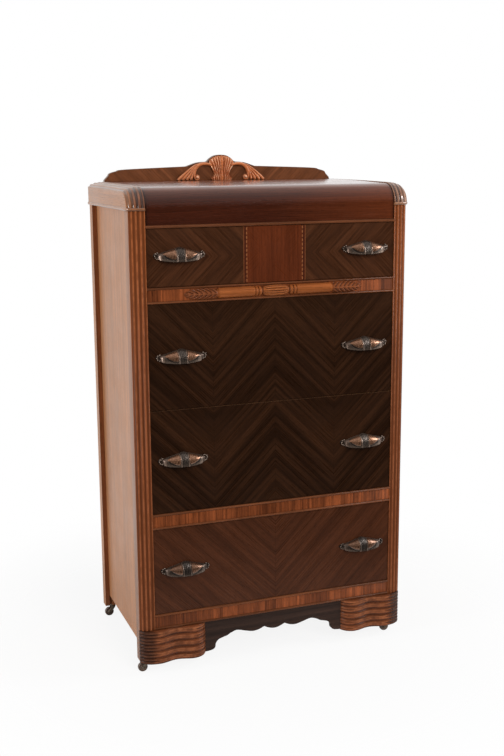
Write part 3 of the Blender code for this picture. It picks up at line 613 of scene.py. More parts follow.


# Posts: groove and ridge paint shade in the flutes and a highlight on their edges, plain a pale sheen on the side
# faces, and the tint paints the posts darker and greyer below their top, a painted shade
POST_LOOK = wood("post_wood", (0.203, 0.054, 0.0148), "Z", groove=(0.122, 0.0330, 0.0096),
                 ridge=(0.30, 0.092, 0.031), plain=(0.330, 0.130, 0.050), plain_coat=0.5, coat_rough=0.30,
                 streak=170.0, contrast=0.6, gloss=0.08, tint=((0.775, 0.815, 0.975), 2, 1.12, 0.78))
REAR_LOOK = rear_post_look()
SIDE_LOOK = wood("side_wood", (0.360, 0.150, 0.057), "Z", rough=0.50, coat=0.30, coat_rough=0.30, spread=0.16,
                 streak=60.0, warp=0.030, patch=0.10)
# Caps: groove and ridge paint shade and highlight in the flutes, plain a pale sheen on the top, side and bead, and the
# colour graded along x paints the right cap paler and greyer, a painted reflection
CAP_LOOK = wood("cap_wood", (0.115, 0.036, 0.0145), "Y", groove=(0.050, 0.016, 0.007), ridge=(0.24, 0.086, 0.036),
                plain=(0.350, 0.152, 0.064), plain_coat=0.30, streak=60.0, coat=1.0, coat_rough=0.09, coat_ior=1.75,
                spread=0.12, patch=0.08, gloss=0.20, graded=((0.27, 0.150, 0.100), 0, 0.0, OPEN_HALF))
# Top: plain paints a pale sheen up the roll and over the top, the darker colour paints shade at the joints by the caps,
# and the colour graded along x makes it lighter towards the right end
TOP_LOOK = wood("top_wood", (0.041, 0.0080, 0.0026), "X", rough=0.22, coat=0.75, spread=0.14, streak=80.0, warp=0.02,
                patch=0.12, bump=0.02, gloss=0.25, graded=((0.098, 0.0205, 0.0052), 0, -0.08, OPEN_HALF),
                plain=(0.250, 0.088, 0.052), darkening=(0.30, 0.30, 0.30))
BAND_LOOK = crossband()
# Carvings, turning and feet: groove paints shade in the hollows and ridge a highlight on the crests; the feet's darker
# colour is painted shade
CARVED_LOOK = wood("carved_wood", (0.50, 0.155, 0.054), "X", groove=(0.080, 0.018, 0.006), ridge=(1.0, 0.64, 0.42),
                   streak=140.0, spread=0.12, gloss=0.35)
TURNING_LOOK = wood("turning_wood", (0.30, 0.084, 0.021), "X", groove=(0.050, 0.014, 0.005),
                    ridge=(0.44, 0.160, 0.060), darkening=(0.62, 0.60, 0.72), streak=130.0, spread=0.25, gloss=0.15)
FOOT_LOOK = wood("foot_wood", (0.108, 0.0300, 0.0104), "X", groove=(0.058, 0.0168, 0.0063),
                 ridge=(0.31, 0.101, 0.0375), darkening=(0.25, 0.28, 0.35), streak=110.0, gloss=0.15)
APRON_LOOK = wood("apron_wood", (0.030, 0.0150, 0.0102), "X", rough=0.40, gloss=0.15)
BOX_LOOK = {axis: wood("box_wood_" + axis, (0.43, 0.265, 0.134), axis, rough=0.60, spread=0.22, streak=70.0, bump=0.2)
            for axis in "XY"}
BACK_LOOK = wood("back_board", (0.28, 0.170, 0.085), "X", rough=0.65, spread=0.28, streak=26.0, warp=0.06, bump=0.2)
PAIR_LOOK = veneer("veneer_pair", "double", (0.0225, 0.0083, 0.0033), 0.12, spread=0.42, streak=85.0, contrast=0.45)
LOW_LOOK = veneer("veneer_low", "single", (0.052, 0.0160, 0.0064), 0.12, spread=0.28, streak=70.0, contrast=0.55)
GALLERY_LOOK = veneer("veneer_gallery", "single", (0.142, 0.047, 0.0180), spread=0.26, streak=75.0, contrast=0.45)
FIRST_LOOK = top_drawer_look()
PULL_LOOK = pull_look("pull_metal", 1.0)
# the lowest drawer's pulls: the same metal darker, a painted shade
LOW_PULL_LOOK = pull_look("pull_metal_low", 0.62)
CASTER_LOOK = metal("caster_metal", (0.17, 0.135, 0.10), (0.050, 0.036, 0.026), 0.42)
NUT_LOOK = metal("nut_metal", (0.42, 0.37, 0.27), (0.16, 0.12, 0.08), 0.35)
NAIL_LOOK = metal("nail_metal", (0.16, 0.14, 0.12), (0.09, 0.05, 0.03), 0.50)
WHEEL_LOOK = wood("wheel_wood", (0.085, 0.050, 0.033), "Y", rough=0.45, coat=0.1)


# Posts, top and caps

def corner(width, depth, per_flute=14):
    """(across, back, relief) along a rounded corner with flutes of a depth, from its inner edge to the side face."""
    samples = 240
    spots, total = [], 0.0
    for i in range(samples + 1):
        angle = pi / 2 * i / samples
        spot = Vector((width * sin(angle), CORNER_DROP * (1 - cos(angle))))
        inward = Vector((-CORNER_DROP * sin(angle), width * cos(angle))).normalized()
        total += (spot - spots[-1][1]).length if spots else 0.0
        spots.append((total, spot, inward))
    pitch = total / FLUTES
    places = [(k + 0.5) * pitch + FLUTE_W * (j / per_flute - 0.5) for k in range(FLUTES) for j in range(per_flute + 1)]
    out = []
    for length in [0.0] + places + [total]:
        near = min(spots, key=lambda s: abs(s[0] - length))
        k = min(FLUTES - 1, int(length / pitch))
        sink = rounded(2 * (length - (k + 0.5) * pitch) / FLUTE_W)
        spot = near[1] + near[2] * sink * depth
        out.append((spot.x, spot.y, 1.0 - sink))
    return out


def front_posts():
    """Fluted posts with a groove for the side panel, a notch for the foot and a socket for the caster's stem."""
    bend = corner(POST_W, FLUTE_DEPTH)
    # relief paints shade in the flutes and a highlight on their edges; the side face and rear are marked plain for a
    # painted pale sheen
    plan = [(OPEN_HALF + x, y, r ** 0.55, float(k == len(bend) - 1)) for k, (x, y, r) in enumerate(bend)]
    inner, outer, groove = PANEL_IN - FIT, PANEL_OUT + FIT, POST_D - PANEL_GROOVE - FIT
    rear = [(HALF, POST_D), (outer, POST_D), (outer, groove), (inner, groove), (inner, POST_D), (OPEN_HALF, POST_D)]
    plan += [(x, y, 0.7, 1.0) for x, y in rear]
    below, above, wide = LEG_Z - 0.001, STEM_Z + FIT, STEM_R + FIT
    socket = [(0.0, below), (wide, below), (wide, above), (0.0, above)]
    for sign, side in SIDES:
        mesh = slab("post", [(sign * p[0], p[1]) for p in plan], "Z", LEG_Z, CAP_Z - FIT, 0.0004,
                    relief=[p[2] for p in plan], plain=[p[3] for p in plan])
        low, high = sorted((sign * (OPEN_HALF - POST_W), sign * (HALF + POST_W)))
        notch = block((low, FY - POST_D, LEG_Z - POST_W), (high, FY + FOOT_BACK + FIT, FOOT_TOP + FIT))
        x, y, _ = middle_of(f"caster_front_{side}_wheel")
        mesh = cut(cut(mesh, notch), lathe("socket", socket, 32, (x + TRAIL, y, 0.0)))
        # A cut leaves its new points without marks
        near = [min(plan, key=lambda p: hypot(sign * p[0] - v.co.x, FY + p[1] - v.co.y)) for v in mesh.vertices]
        for row, mark in ((2, "relief"), (3, "plain")):
            mesh.attributes[mark].data.foreach_set("value", [p[row] for p in near])
        piece("post_front_" + side, mesh, POST_LOOK, "post_wood", "front_post_" + side, sharp=50)


def roll(depth, count, sag=0.0):
    """The rounded edge from the fall to the top, at a depth below its surface."""
    radius = ROLL_R - depth
    return arc((ROLL_R, TOP_Z - ROLL_R - sag), (radius, radius), 180, 91, count)


def cambered(start, end, count=10):
    """The top's line from the roll back to the gallery: its depth below the top goes from start to end."""
    run = GALLERY_FRONT - ROLL_R
    return [(ROLL_R + run * i / count, TOP_Z - end - (start - end) * (1 - i / count) ** 2)
            for i in range(1, count + 1)]


def waterfall_top():
    """A board that swells from its rear to the roll; its ends are a little short, so the joints show dark, and the wood
    near them is painted darker as painted shade. A pale painted sheen runs up the roll and over the top.
    """
    sink, sag, short = 0.0020, 0.0033, 0.0012
    outer = [(sink, FALL_Z)] + roll(sink, 40, sag) + cambered(sink + sag, 0.0) + [(DEPTH, TOP_Z)]
    inner = [(DEPTH, TOP_Z - TOP_T)] + roll(TOP_T, 20)[::-1] + [(TOP_T, FALL_Z)]
    # a pale sheen painted up the roll and over the top
    sheen_share = [eased(14, 46, i) for i in range(len(outer))] + [0.0] * len(inner)
    half = OPEN_HALF - short
    # the wood near each end is painted darker: painted shade in the joints
    ends = [(half, 1.0), (half - 0.0010, 1.0), (half - 0.0050, 0.25), (half - 0.0120, 0.0)]
    rows = [[(placed("X", y, z, x), dirt_and_shade, roll_sheen) for (y, z), roll_sheen in zip(outer + inner, sheen_share)]
            for x, dirt_and_shade in [(-x, dirt_and_shade) for x, dirt_and_shade in ends] + ends[::-1]]
    piece("top_waterfall", carved("top", rows, "darkening", "plain"), TOP_LOOK, "top_wood", "waterfall_top")


CAP_SAG = 0.0028  # of the caps' line at the roll
CAP_FLUTE_DEPTH = 0.0031
CAP_FLUTES_KEPT = 0.5  # share of that depth on the flat top
CAP_LOW = CAP_Z + COLLAR_H / 2  # lower end of a cap, inside its collar
# A collar's section: out from the cap, up, and relief, which paints shade in the quirks and a highlight on the rounds
COLLAR = ((-0.0030, 0.0, 0.2), (0.0012, 0.0, 0.5), (0.0019, 0.0008, 0.9), (0.0013, 0.0017, 0.1), (0.0017, 0.0024, 0.5),
          (0.0020, 0.0036, 1.0), (0.0020, 0.0052, 1.0), (0.0015, 0.0066, 0.9), (0.0004, 0.0076, 0.1),
          (-0.0030, COLLAR_H, 0.2))


def shoulder(depth):
    """A cap's line from its collar over the roll to the rear, at a depth below its surface."""
    return ([(depth, CAP_LOW)] + roll(depth, 24, CAP_SAG) + cambered(depth + CAP_SAG, depth)
            + [(DEPTH, TOP_Z - depth)])


def cap_mesh(sign):
    """A shoulder whose flutes go shallow at the top of the roll."""
    fluted, even = corner(CAP_W, CAP_FLUTE_DEPTH), corner(CAP_W, 0.0)
    rows = []
    for k, ((across, back, r), (flat, base, _)) in enumerate(zip(fluted, even)):
        # relief paints shade in the flutes; lit marks a pale painted sheen over the top of the roll and towards the
        # side, full on the side face
        outside = 0.45 * eased(0.4, 0.9, k / len(even))
        row = []
        for i, (one, two) in enumerate(zip(shoulder(back), shoulder(base))):
            share = 1 - (1 - CAP_FLUTES_KEPT) * eased(18, 25, i)
            spot = Vector(two).lerp(Vector(one), share)
            lit = 1.0 if k == len(even) - 1 else max(eased(16, 25, i) * (0.55 + 0.45 * r), outside)
            row.append(((sign * (OPEN_HALF + flat + (across - flat) * share), FY + spot.x, spot.y), r, lit))
        rows.append(row + [((sign * (OPEN_HALF + flat), FY + DEPTH, CAP_LOW), 0.9, 1.0)])
    return carved("cap", rows, "relief", "plain")


def cap_base_mesh(sign, plan):
    """A thin plate under a cap, hidden by its collar."""
    hide = 0.002
    line = [(sign * (spot.x - hide), spot.y + hide) for spot in plan]
    line[-1] = (line[-1][0], DEPTH)
    line.append((sign * OPEN_HALF, DEPTH))
    marks = [1.0] * len(line)
    return slab("base", line, "Z", CAP_Z, CAP_LOW + 0.001, 0.0003, relief=marks, plain=marks)


def collar_mesh(sign, plan):
    """A moulded band round the lower edge of a cap."""
    rows = []
    for spot, way in zip(plan, [Vector((0, -1))] + normals(plan)[1:]):
        # the plain mark paints a pale sheen on the side-facing part, most on the rounds
        lit = 0.35 + 0.65 * eased(0.7, 1.0, way.x)
        rows.append([((sign * (spot.x + way.x * out), FY + spot.y + way.y * out, CAP_Z + up), tone, lit * tone)
                     for out, up, tone in COLLAR])
    return carved("collar", rows, "relief", "plain")


def top_caps():
    """Fluted shoulders, each with a base, a collar below and a bead along the side."""
    plan = [Vector((OPEN_HALF + FIT + x, y)) for x, y, _ in corner(CAP_W, 0.0, 3)]
    plan += [Vector((plan[-1].x, y)) for y in (0.05, 0.15, 0.30, DEPTH - FIT)]
    edge = [(CORNER_DROP, CAP_Z + COLLAR_H)] + roll(CORNER_DROP, 20, CAP_SAG)
    edge += cambered(CORNER_DROP + CAP_SAG, CORNER_DROP) + [(DEPTH - 0.001, TOP_Z - CORNER_DROP)]
    for sign, side in SIDES:
        # the bead is marked plain all over: a pale painted highlight line
        bead = tube("bead", [(sign * (OPEN_HALF + CAP_W), FY + y, z) for y, z in edge], 0.0011, relief=1.0, plain=1.0)
        piece("cap_" + side, cap_mesh(sign), CAP_LOOK, "cap_wood", "top_cap_" + side, sharp=50)
        piece("cap_base_" + side, cap_base_mesh(sign, plan), CAP_LOOK, "cap_wood")
        piece("cap_collar_" + side, collar_mesh(sign, plan), CAP_LOOK, "cap_wood", sharp=60)
        piece("cap_bead_" + side, bead, CAP_LOOK, "cap_wood")


# Gallery and crest

def gallery_board():
    """A board with ogee ends and a swelling in the middle."""
    end, level = TOP_Z - 0.0005, TOP_Z + 0.040
    length, sag, swell_half = 0.036, 0.0065, 0.104
    ogee = smooth([(BETWEEN, end + 0.005), (BETWEEN - 0.30 * length, level - 0.024),
                   (BETWEEN - 0.46 * length, level - 0.0168), (BETWEEN - length, level - 1.7 * sag)], 10)
    top = smooth([ogee[-1], (BETWEEN - 1.8 * length, level - sag), (swell_half, level)], 8)[1:]
    rise = board_high.z - level
    form = ((0.73, 0.29), (0.55, 0.38), (0.40, 0.42), (0.30, 0.70), (0.16, 0.94), (0.0, 1.0))
    swell = smooth([top[-1]] + [(x * swell_half, level + z * rise) for x, z in form], 8)[1:]
    outline = mirrored([Vector((BETWEEN, end))] + ogee + top + swell)
    mesh = slab("gallery", outline, "Y", GALLERY_FRONT, GALLERY_BACK, 0.0012)
    piece("gallery", mesh, GALLERY_LOOK, "veneer", "gallery_board")


CREST_BACK = FY + GALLERY_FRONT - FIT


def swept(path, widths, depths, sign, profile):
    """A carved band along (x, z) points: profile gives (across, height, relief) rows, across from -1 to 1."""
    rows = []
    for spot, normal, width, depth in zip(path, normals(path), widths, depths):
        row = []
        for across, up, shade in [*profile, (1.0, 0.0, 0.0), (-1.0, 0.0, 0.0)]:
            p = spot - normal * width * across
            row.append(((sign * p.x, CREST_BACK - depth * up, TOP_Z + p.y), shade))
        rows.append(row)
    return carved("band", rows, "relief")


def ball(place, radius, flat=1.0, shade=0.8):
    """A round bead with one relief value."""
    work = bmesh.new()
    bmesh.ops.create_icosphere(work, subdivisions=3, radius=radius)
    work.transform(Matrix.Translation(place) @ Matrix.Diagonal((1, flat, 1, 1)))
    mesh = finished("ball", work)
    mesh.attributes.new("relief", "FLOAT", "POINT").data.foreach_set("value", [shade] * len(mesh.vertices))
    return mesh


def shell_parts():
    """A palmette: hollow flutes between ridges flare from a waist to a scalloped fan, beside a beaded tongue."""
    columns, steps, flutes, core = 192, 80, 4, 0.15
    waist = [tuple(p) for p in smooth([
        (0.00, 0.0260), (0.06, 0.0295), (0.13, 0.0306), (0.20, 0.0275), (0.28, 0.0240), (0.36, 0.0228),
        (0.46, 0.0236), (0.58, 0.0262), (0.70, 0.0300), (0.82, 0.0336), (0.92, 0.0360), (1.00, 0.0370)], 6)]
    swell = ((0.00, 0.70), (0.12, 1.00), (0.25, 0.90), (0.42, 0.80), (0.60, 0.92), (0.80, 1.05), (0.92, 0.85),
             (1.00, 0.40))
    rows = []
    for i in range(steps + 1):
        v = i / steps
        half, level = table(waist, v)[0], table(swell, v)[0]
        row = []
        for j in range(columns + 1):
            u = 2 * j / columns - 1
            bulge = sqrt(max(0.0, 1 - 0.96 * u * u))
            # shade paints the flutes dark and the ridges pale: painted shade and highlight
            if abs(u) < core:
                q = abs(u) / core
                ridge, shade = 0.80 - 0.60 * q ** 4, 0.68 - 0.40 * q ** 6
            else:
                q = abs(2 * ((abs(u) - core) / (1 - core) * flutes % 1.0) - 1)
                ridge, shade = q ** 1.8, 0.30 + 0.74 * q ** 0.8
            tip = 0.0472 + 0.0205 * bulge + 0.0030 * (1 - q * q)
            crown = (0.0035 + 0.0050 * bulge) * level
            rib = 0.0050 * ridge * (1 - 0.5 * eased(0.95, 1.0, v))
            row.append(((half * u, CREST_BACK - crown - rib, TOP_Z + FIT + (tip - FIT) * v), shade))
        rows.append(row + [((x, CREST_BACK, row[end][0][2]), 0.2) for x, end in ((half, -1), (-half, 0))])
    parts = [carved("shell", rows, "relief")]
    for k in range(7):
        z = 0.010 + 0.0046 * k
        out = 0.0035 + 0.0085 * table(swell, z / 0.070)[0]
        parts.append(ball((0, CREST_BACK - out, TOP_Z + z), 0.0018))
    return parts


def fused(name, meshes, low):
    """One carving from overlapping solids, flat below."""
    verts, faces, relief = [], [], []
    for mesh in meshes:
        base = len(verts)
        verts += [(v.co.x, v.co.y, max(v.co.z, low)) for v in mesh.vertices]
        faces += [[base + i for i in face.vertices] for face in mesh.polygons]
        relief += [mark.value for mark in mesh.attributes["relief"].data]
    return make(name, verts, faces, relief=relief)


def crest_carving():
    """A shell between two scrolled arms, each with four leaves."""
    parts = shell_parts()
    # the relief column paints shade along the arms' and leaves' lower edges and a highlight on their upper sides
    band = [(-1.0, 0.12, 0.20), (-0.85, 0.52, 0.40), (-0.6, 0.80, 0.58), (-0.2, 0.97, 0.66), (0.2, 1.0, 0.72),
            (0.55, 0.90, 0.90), (0.82, 0.62, 0.86), (1.0, 0.15, 0.40)]
    leaf = []
    for k in range(17):
        a = radians(11.25 * k - 90)
        up = 0.05 + 0.95 * cos(a)
        leaf.append((sin(a), up, max(0.0, min((up - 0.34) / 0.50, 0.78 + 0.24 * sin(a)))))
    arm = smooth([(0.0300, 0.0425), (0.0380, 0.0455), (0.0480, 0.0468), (0.0570, 0.0466), (0.0655, 0.0444),
                  (0.0728, 0.0399), (0.0780, 0.0332), (0.0808, 0.0255), (0.0820, 0.0175), (0.0820, 0.0115)], 6)
    eye = Vector((0.0742, 0.0100))
    turns = 70
    for i in range(1, turns + 1):
        angle = radians(12 - 385 * i / turns)
        arm.append(eye + Vector((cos(angle), sin(angle))) * (0.0078 - 0.0040 * i / turns))
    taper = ((0.0, 0.0038), (0.12, 0.0052), (0.26, 0.0056), (0.36, 0.0044), (0.46, 0.0028), (0.75, 0.0022),
             (1.0, 0.0014))
    arm_depth = ((0.0, 0.0106), (1.0, 0.0088))
    leaf_width = ((0.0, 0.0026), (0.5, 0.0036), (0.85, 0.0052), (1.0, 0.0044))
    leaf_depth = ((0.0, 0.0086), (0.5, 0.0094), (0.85, 0.0086), (1.0, 0.0050))
    outer = smooth([(0.0620, 0.0470), (0.0800, 0.0424), (0.0992, 0.0294), (0.1166, 0.0148), (0.1312, 0.0016)], 10)
    inner = smooth([(0.0775, 0.0385), (0.0838, 0.0280), (0.0874, 0.0185), (0.0902, 0.0090), (0.0922, 0.0018)], 10)

    def along(line, form):
        return [table(form, i / (len(line) - 1))[0] for i in range(len(line))]

    for sign in (-1, 1):
        parts.append(swept(arm, along(arm, taper), along(arm, arm_depth), sign, band))
        # the eye's ball carries a painted highlight
        parts.append(ball((sign * eye.x, CREST_BACK - 0.0058, TOP_Z + eye.y), 0.0043, 1.5, 1.0))
        for share in (0, 1 / 3, 2 / 3, 1):
            line = [one.lerp(two, share) for one, two in zip(outer, inner)]
            parts.append(swept(line, along(line, leaf_width), along(line, leaf_depth), sign, leaf))
    piece("crest", fused("crest", parts, TOP_Z + FIT), CARVED_LOOK, "carved_wood", "crest_carving", sharp=80)


# Rails, turning and apron

RAIL_SINK = 0.001  # of the rails' faces behind the front plane


def beaded_rail(name):
    """A rail with a bead and a quirk along each edge."""
    low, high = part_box(name)
    bead, proud = 0.0028, 0.0022
    lower, upper = (arc((RAIL_SINK, z), (RAIL_SINK + proud, bead), 270, 90, 12) for z in (low.z + bead, high.z - bead))
    quirk = [(0.0006, 0.0004), (0.0, 0.0010), (0.0, 0.0013)]
    face = [(RAIL_SINK + y, low.z + 2 * bead + z) for y, z in quirk]
    face += [(RAIL_SINK + y, high.z - 2 * bead - z) for y, z in reversed(quirk)]
    line = lower + face + upper + [(POST_D, high.z), (POST_D, low.z)]
    marks = [1.0] * len(lower) + [0.0] * len(face) + [1.0] * len(upper) + [0.0, 0.0]
    mesh = slab("rail", line, "X", -BETWEEN, BETWEEN, 0.0002, relief=marks)
    piece(name.replace("rail", "band"), mesh, BAND_LOOK, "band_wood", name, sharp=50)


def top_rail():
    """A rail behind the fall, with a round nose below it."""
    low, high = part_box("top_rail")
    radius, proud, rear, step = 0.004, 0.003, 0.066, TOP_T + FIT
    line = arc((radius - proud, low.z + radius), (radius, radius), 270, 90, 16)
    line += [(step, low.z + 2 * radius), (step, high.z), (rear, high.z), (rear, low.z)]
    mesh = slab("nose", line, "X", -BETWEEN, BETWEEN, 0.0002, relief=[1.0] * len(line))
    piece("top_nose", mesh, BAND_LOOK, "band_wood", "top_rail")


# Radius of the turning from its middle to its ends, both as shares
TURNING_FORM = ((0.0, 1.14), (0.050, 1.11), (0.100, 0.99), (0.135, 0.80), (0.150, 0.67), (0.158, 0.66), (0.163, 0.85),
                (0.175, 0.98), (0.187, 0.96), (0.193, 0.72), (0.199, 0.70), (0.204, 0.92), (0.213, 1.00), (0.224, 0.98),
                (0.229, 0.76), (0.235, 0.74), (0.240, 0.95), (0.250, 1.00), (0.630, 1.00), (0.637, 0.86), (0.645, 0.80),
                (0.652, 0.95), (0.680, 1.08), (0.800, 1.10), (0.900, 1.00), (0.955, 0.75), (0.985, 0.45), (1.0, 0.09))


def turning_relief(share, angle, level):
    """Lift and relief shade of the turning: a reeded barrel, plain lengths and leaf ends."""
    barrel, leaves = 0.155, 0.655
    shade = 0.25 + eased(0.66, 0.92, level) * 0.53
    if share < barrel:
        reed = abs(sin(angle * 6))
        fade = 1 - eased(0.11, 0.15, share)
        return 0.0020 * (reed - 1) * fade, shade * (1 - fade) + (0.05 + 0.90 * reed) * fade
    if share > leaves:
        t = (share - leaves) / (1 - leaves)
        tilt = (angle - pi / 2) / (pi / 2)
        beat = (t * 7.0 - abs(tilt) * 1.6) % 1.0
        vein = hump(0.0, 0.14, tilt)
        lift = 0.0024 * (beat ** 0.8 - 0.75) * (1 - vein) * (1 - eased(0.88, 1.0, t)) + 0.0004 * vein
        return lift, max(0.25 + 0.75 * beat ** 1.3, 0.9 * vein)
    return 0.0, shade


def rail_turning():
    """A split turning on the upper rail."""
    half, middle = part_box("rail_turning")[1].x, middle_of("rail_turning")[2]
    radius, least, back = 0.0128, 0.0008, RAIL_SINK - FIT
    steps, around = 300, 60
    rows = []
    for i in range(-steps, steps + 1):
        share = abs(i) / steps
        level, dark = table(TURNING_FORM, share)[0], eased(0.640, 0.655, share)
        row = []
        for j in range(around + 1):
            angle = pi * j / around
            lift, shade = turning_relief(share, angle, level)
            r = max(least, radius * level + lift)
            row.append(((i / steps * half, FY + back - r * sin(angle), middle + r * cos(angle)), shade, dark))
        rows.append(row)
    piece("turning", carved("turning", rows, "relief", "darkening"), TURNING_LOOK, "carved_wood", "rail_turning", sharp=60)


def apron():
    """A scalloped board: a middle lobe, arches and tabs beside the feet."""
    low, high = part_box("apron")
    base, height = LEG_Z + 0.0365, 0.0095
    lobe, arch, tab_half = 0.0305, 0.1105, 0.172
    span, run, drop = arch - lobe, tab_half - arch, base - LEG_Z
    line = [Vector((lobe * i / 10, base + height - height * cos(pi / 2 * i / 10))) for i in range(11)]
    spots = [(lobe + x * span, base + z * height) for x, z in ((0.20, 0.30), (0.42, 0.08), (0.68, 0.55), (0.90, 1.08))]
    spots += [(arch + x * run, base + z * height) for x, z in ((0.06, 1.16), (0.30, 0.62), (0.46, 0.05))]
    spots += [(arch + x * run, base - z * drop) for x, z in ((0.66, 0.08), (0.86, 0.20), (0.99, 0.45), (1.03, 0.78),
                                                             (1.16, 0.94), (1.40, 1.0))]
    line += smooth([line[-1]] + spots, 7)[1:]
    outline = mirrored([Vector((BETWEEN, high.z)), Vector((BETWEEN, LEG_Z))] + line[::-1])
    front = low.y - FY
    mesh = slab("apron", outline, "Y", front - 0.0085, front + 0.006, 0.0007)
    piece("apron_board", mesh, APRON_LOOK, "dark_wood", "apron")


# Feet

FOOT_IN, FOOT_OUT, FOOT_LOW = 0.199, HALF + 0.001, LEG_Z - 0.003
FOOT_CREST, FOOT_HOLLOW = -0.0115, -0.0015  # of the serpentine, behind the front plane
FOOT_END_R, FOOT_CORNER_X, FOOT_CORNER_Y = 0.040, 0.052, 0.017
FOOT_SWING = acos(1 - (FOOT_BACK - FOOT_CREST) / FOOT_END_R)
FOOT_START = FOOT_IN + FOOT_END_R * sin(FOOT_SWING)
FOOT_END = FOOT_OUT - FOOT_CORNER_X


def foot_path():
    """Plan of a foot's face: rounded inner end, serpentine front, rounded corner and side."""
    start = 270 - degrees(FOOT_SWING)
    path = arc((FOOT_START, FOOT_CREST + FOOT_END_R), (FOOT_END_R, FOOT_END_R), start, 270, 30)
    for i in range(1, 60):
        wave = (FOOT_CREST - FOOT_HOLLOW) / 2 * cos(2 * pi * i / 60)
        path.append((FOOT_START + (FOOT_END - FOOT_START) * i / 60, (FOOT_CREST + FOOT_HOLLOW) / 2 + wave))
    path += arc((FOOT_END, FOOT_CORNER_Y), (FOOT_CORNER_X, FOOT_CORNER_Y - FOOT_CREST), 270, 360, 40)
    side = HALF - FIT
    path += arc((side, FOOT_CORNER_Y), (FOOT_OUT - side, FOOT_BACK - FOOT_CORNER_Y), 0, 90, 8)[1:]
    return [Vector(p) for p in path]


def feet():
    """Serpentine feet: broad reeds along the front that part into finer ones round the ends."""
    reeds, depth, steps = 5, 0.0024, 120
    path = foot_path()
    ways = normals(path)
    tips = [max(1 - eased(FOOT_START - 0.016, FOOT_START + 0.006, spot.x), 0.30) for spot in path]
    bends = [eased(FOOT_END - 0.004, FOOT_END + 0.018, spot.x) for spot in path]
    # painted shade on the outer corner and, lightly, in the middle hollow
    shadows = [max(0.90 * eased(FOOT_END + 0.002, FOOT_END + 0.026, spot.x),
                   0.15 * hump((FOOT_START + FOOT_END) / 2, 0.042, spot.x)) for spot in path]
    for sign, side in SIDES:
        rows = []
        for k in range(steps + 1):
            reed = reeds * k / steps
            broad, fine = (1 - rounded(2 * (count * reed % 1.0) - 1) for count in (1, 2))
            if reed > reeds - 0.5:
                broad = 0.4 * (1 - rounded(2 * (reed - reeds) + 1))
            z = FOOT_LOW + (FOOT_TOP - FOOT_LOW) * k / steps
            row = []
            for spot, way, tip, bend, shadow in zip(path, ways, tips, bends, shadows):
                part = tip * (1 - bend)
                sink = broad * (1 - 0.35 * part - 0.72 * bend) + fine * (0.50 * part + 0.78 * bend)
                x, y = spot - way * depth * sink
                # relief paints shade in the grooves; the top ring is kept light
                row.append(((sign * x, FY + y, z), max(0.0, 1 - 1.05 * sink) if k < steps else 0.8, shadow))
            rows.append(row)
        mesh = carved("foot", rows, "relief", "darkening")
        piece("foot_carved_" + side, mesh, FOOT_LOOK, "foot_wood", "foot_" + side, sharp=70)


# Pulls and drawer joints

PULL_L, PULL_TOP, PULL_BOTTOM, PULL_REACH, PULL_T = 0.135, 0.020, 0.016, 0.025, 0.0022
PULL_SHIFT = (0.0029, -0.0028, 0.0015, -0.0009)  # of each drawer's pulls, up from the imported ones
PULL_IN = 0.004  # of all pulls, towards the middle
PULL_BOLT = 0.0588  # from a pull's middle
# Place along a pull from its middle; height above, height below and reach there, all as shares
PULL_FORM = ((0.00, 1.00, 1.00, 1.00), (0.06, 0.97, 1.00, 1.00), (0.13, 0.89, 1.00, 1.00), (0.165, 0.83, 1.00, 0.98),
             (0.33, 0.68, 0.97, 0.93), (0.45, 0.57, 0.93, 0.86), (0.60, 0.45, 0.86, 0.75), (0.70, 0.37, 0.80, 0.64),
             (0.77, 0.31, 0.70, 0.50), (0.82, 0.27, 0.52, 0.36), (0.87, 0.30, 0.45, 0.27), (0.92, 0.30, 0.42, 0.22),
             (0.96, 0.20, 0.28, 0.18), (1.00, 0.08, 0.12, 0.12))
# Sides, radius, and place from and to behind a drawer's front: washer, nut and bolt end
NUT_FORM = ((24, 0.0058, 0.0, 0.0009), (6, 0.0040, 0.0009, 0.0038), (16, 0.0018, 0.0038, 0.0068))
TAIL_PITCH = 0.042  # of the dovetails, about
TAIL_FACES = ((0, 1, 3, 2), (4, 5, 7, 6), (0, 1, 5, 4), (2, 3, 7, 6), (0, 2, 6, 4), (1, 3, 7, 5))


def pull_relief(s, angle):
    """Lift, relief shade and copper share of a pull's face, by place along it and round it."""
    t = abs(s)
    rim = max(eased(64, 78, angle), 1 - eased(-24, -14, angle))
    edge = 0.120 + 0.00034 * (angle + 30)
    if t < edge:
        reed = 0.5 + 0.5 * cos(2 * pi * s / 0.060)
        return -0.0006 * (1 - reed) * (1 - rim), 0.24 + 0.26 * reed + 0.20 * rim, 0.0
    if t < edge + 0.046:
        bead = hump(edge + 0.023, 0.023, t)
        return 0.0010 * bead, 0.30 + 0.70 * bead, 0.25 * bead
    panel = edge + 0.050
    u = (t - panel) / (0.67 - panel)
    if 0 < u < 1:
        half = 44 * sqrt(1 - u ** 2.2) * min(1.0, u / 0.06) ** 0.5
        off = angle - 24
        swell = rounded(off / half) * (1 - u ** 3) if half > 1 else 0.0
        groove = hump(3.0, 6.0, -off - half)
        copper = 1 - eased(-5.0, 0.0, abs(off) - half)
        return 0.0030 * swell - 0.0005 * groove, 0.50 - 0.36 * groove + 0.30 * rim, copper
    if 0.77 < t < 0.83:
        ringed = 0.5 + 0.5 * cos(2 * pi * (t - 0.77) / 0.030)
        return -0.0004 * (1 - ringed), 0.15 + 0.45 * ringed, 0.15
    return 0.0, (0.50 if t < 0.8 else 0.22) + 0.25 * rim, 0.15


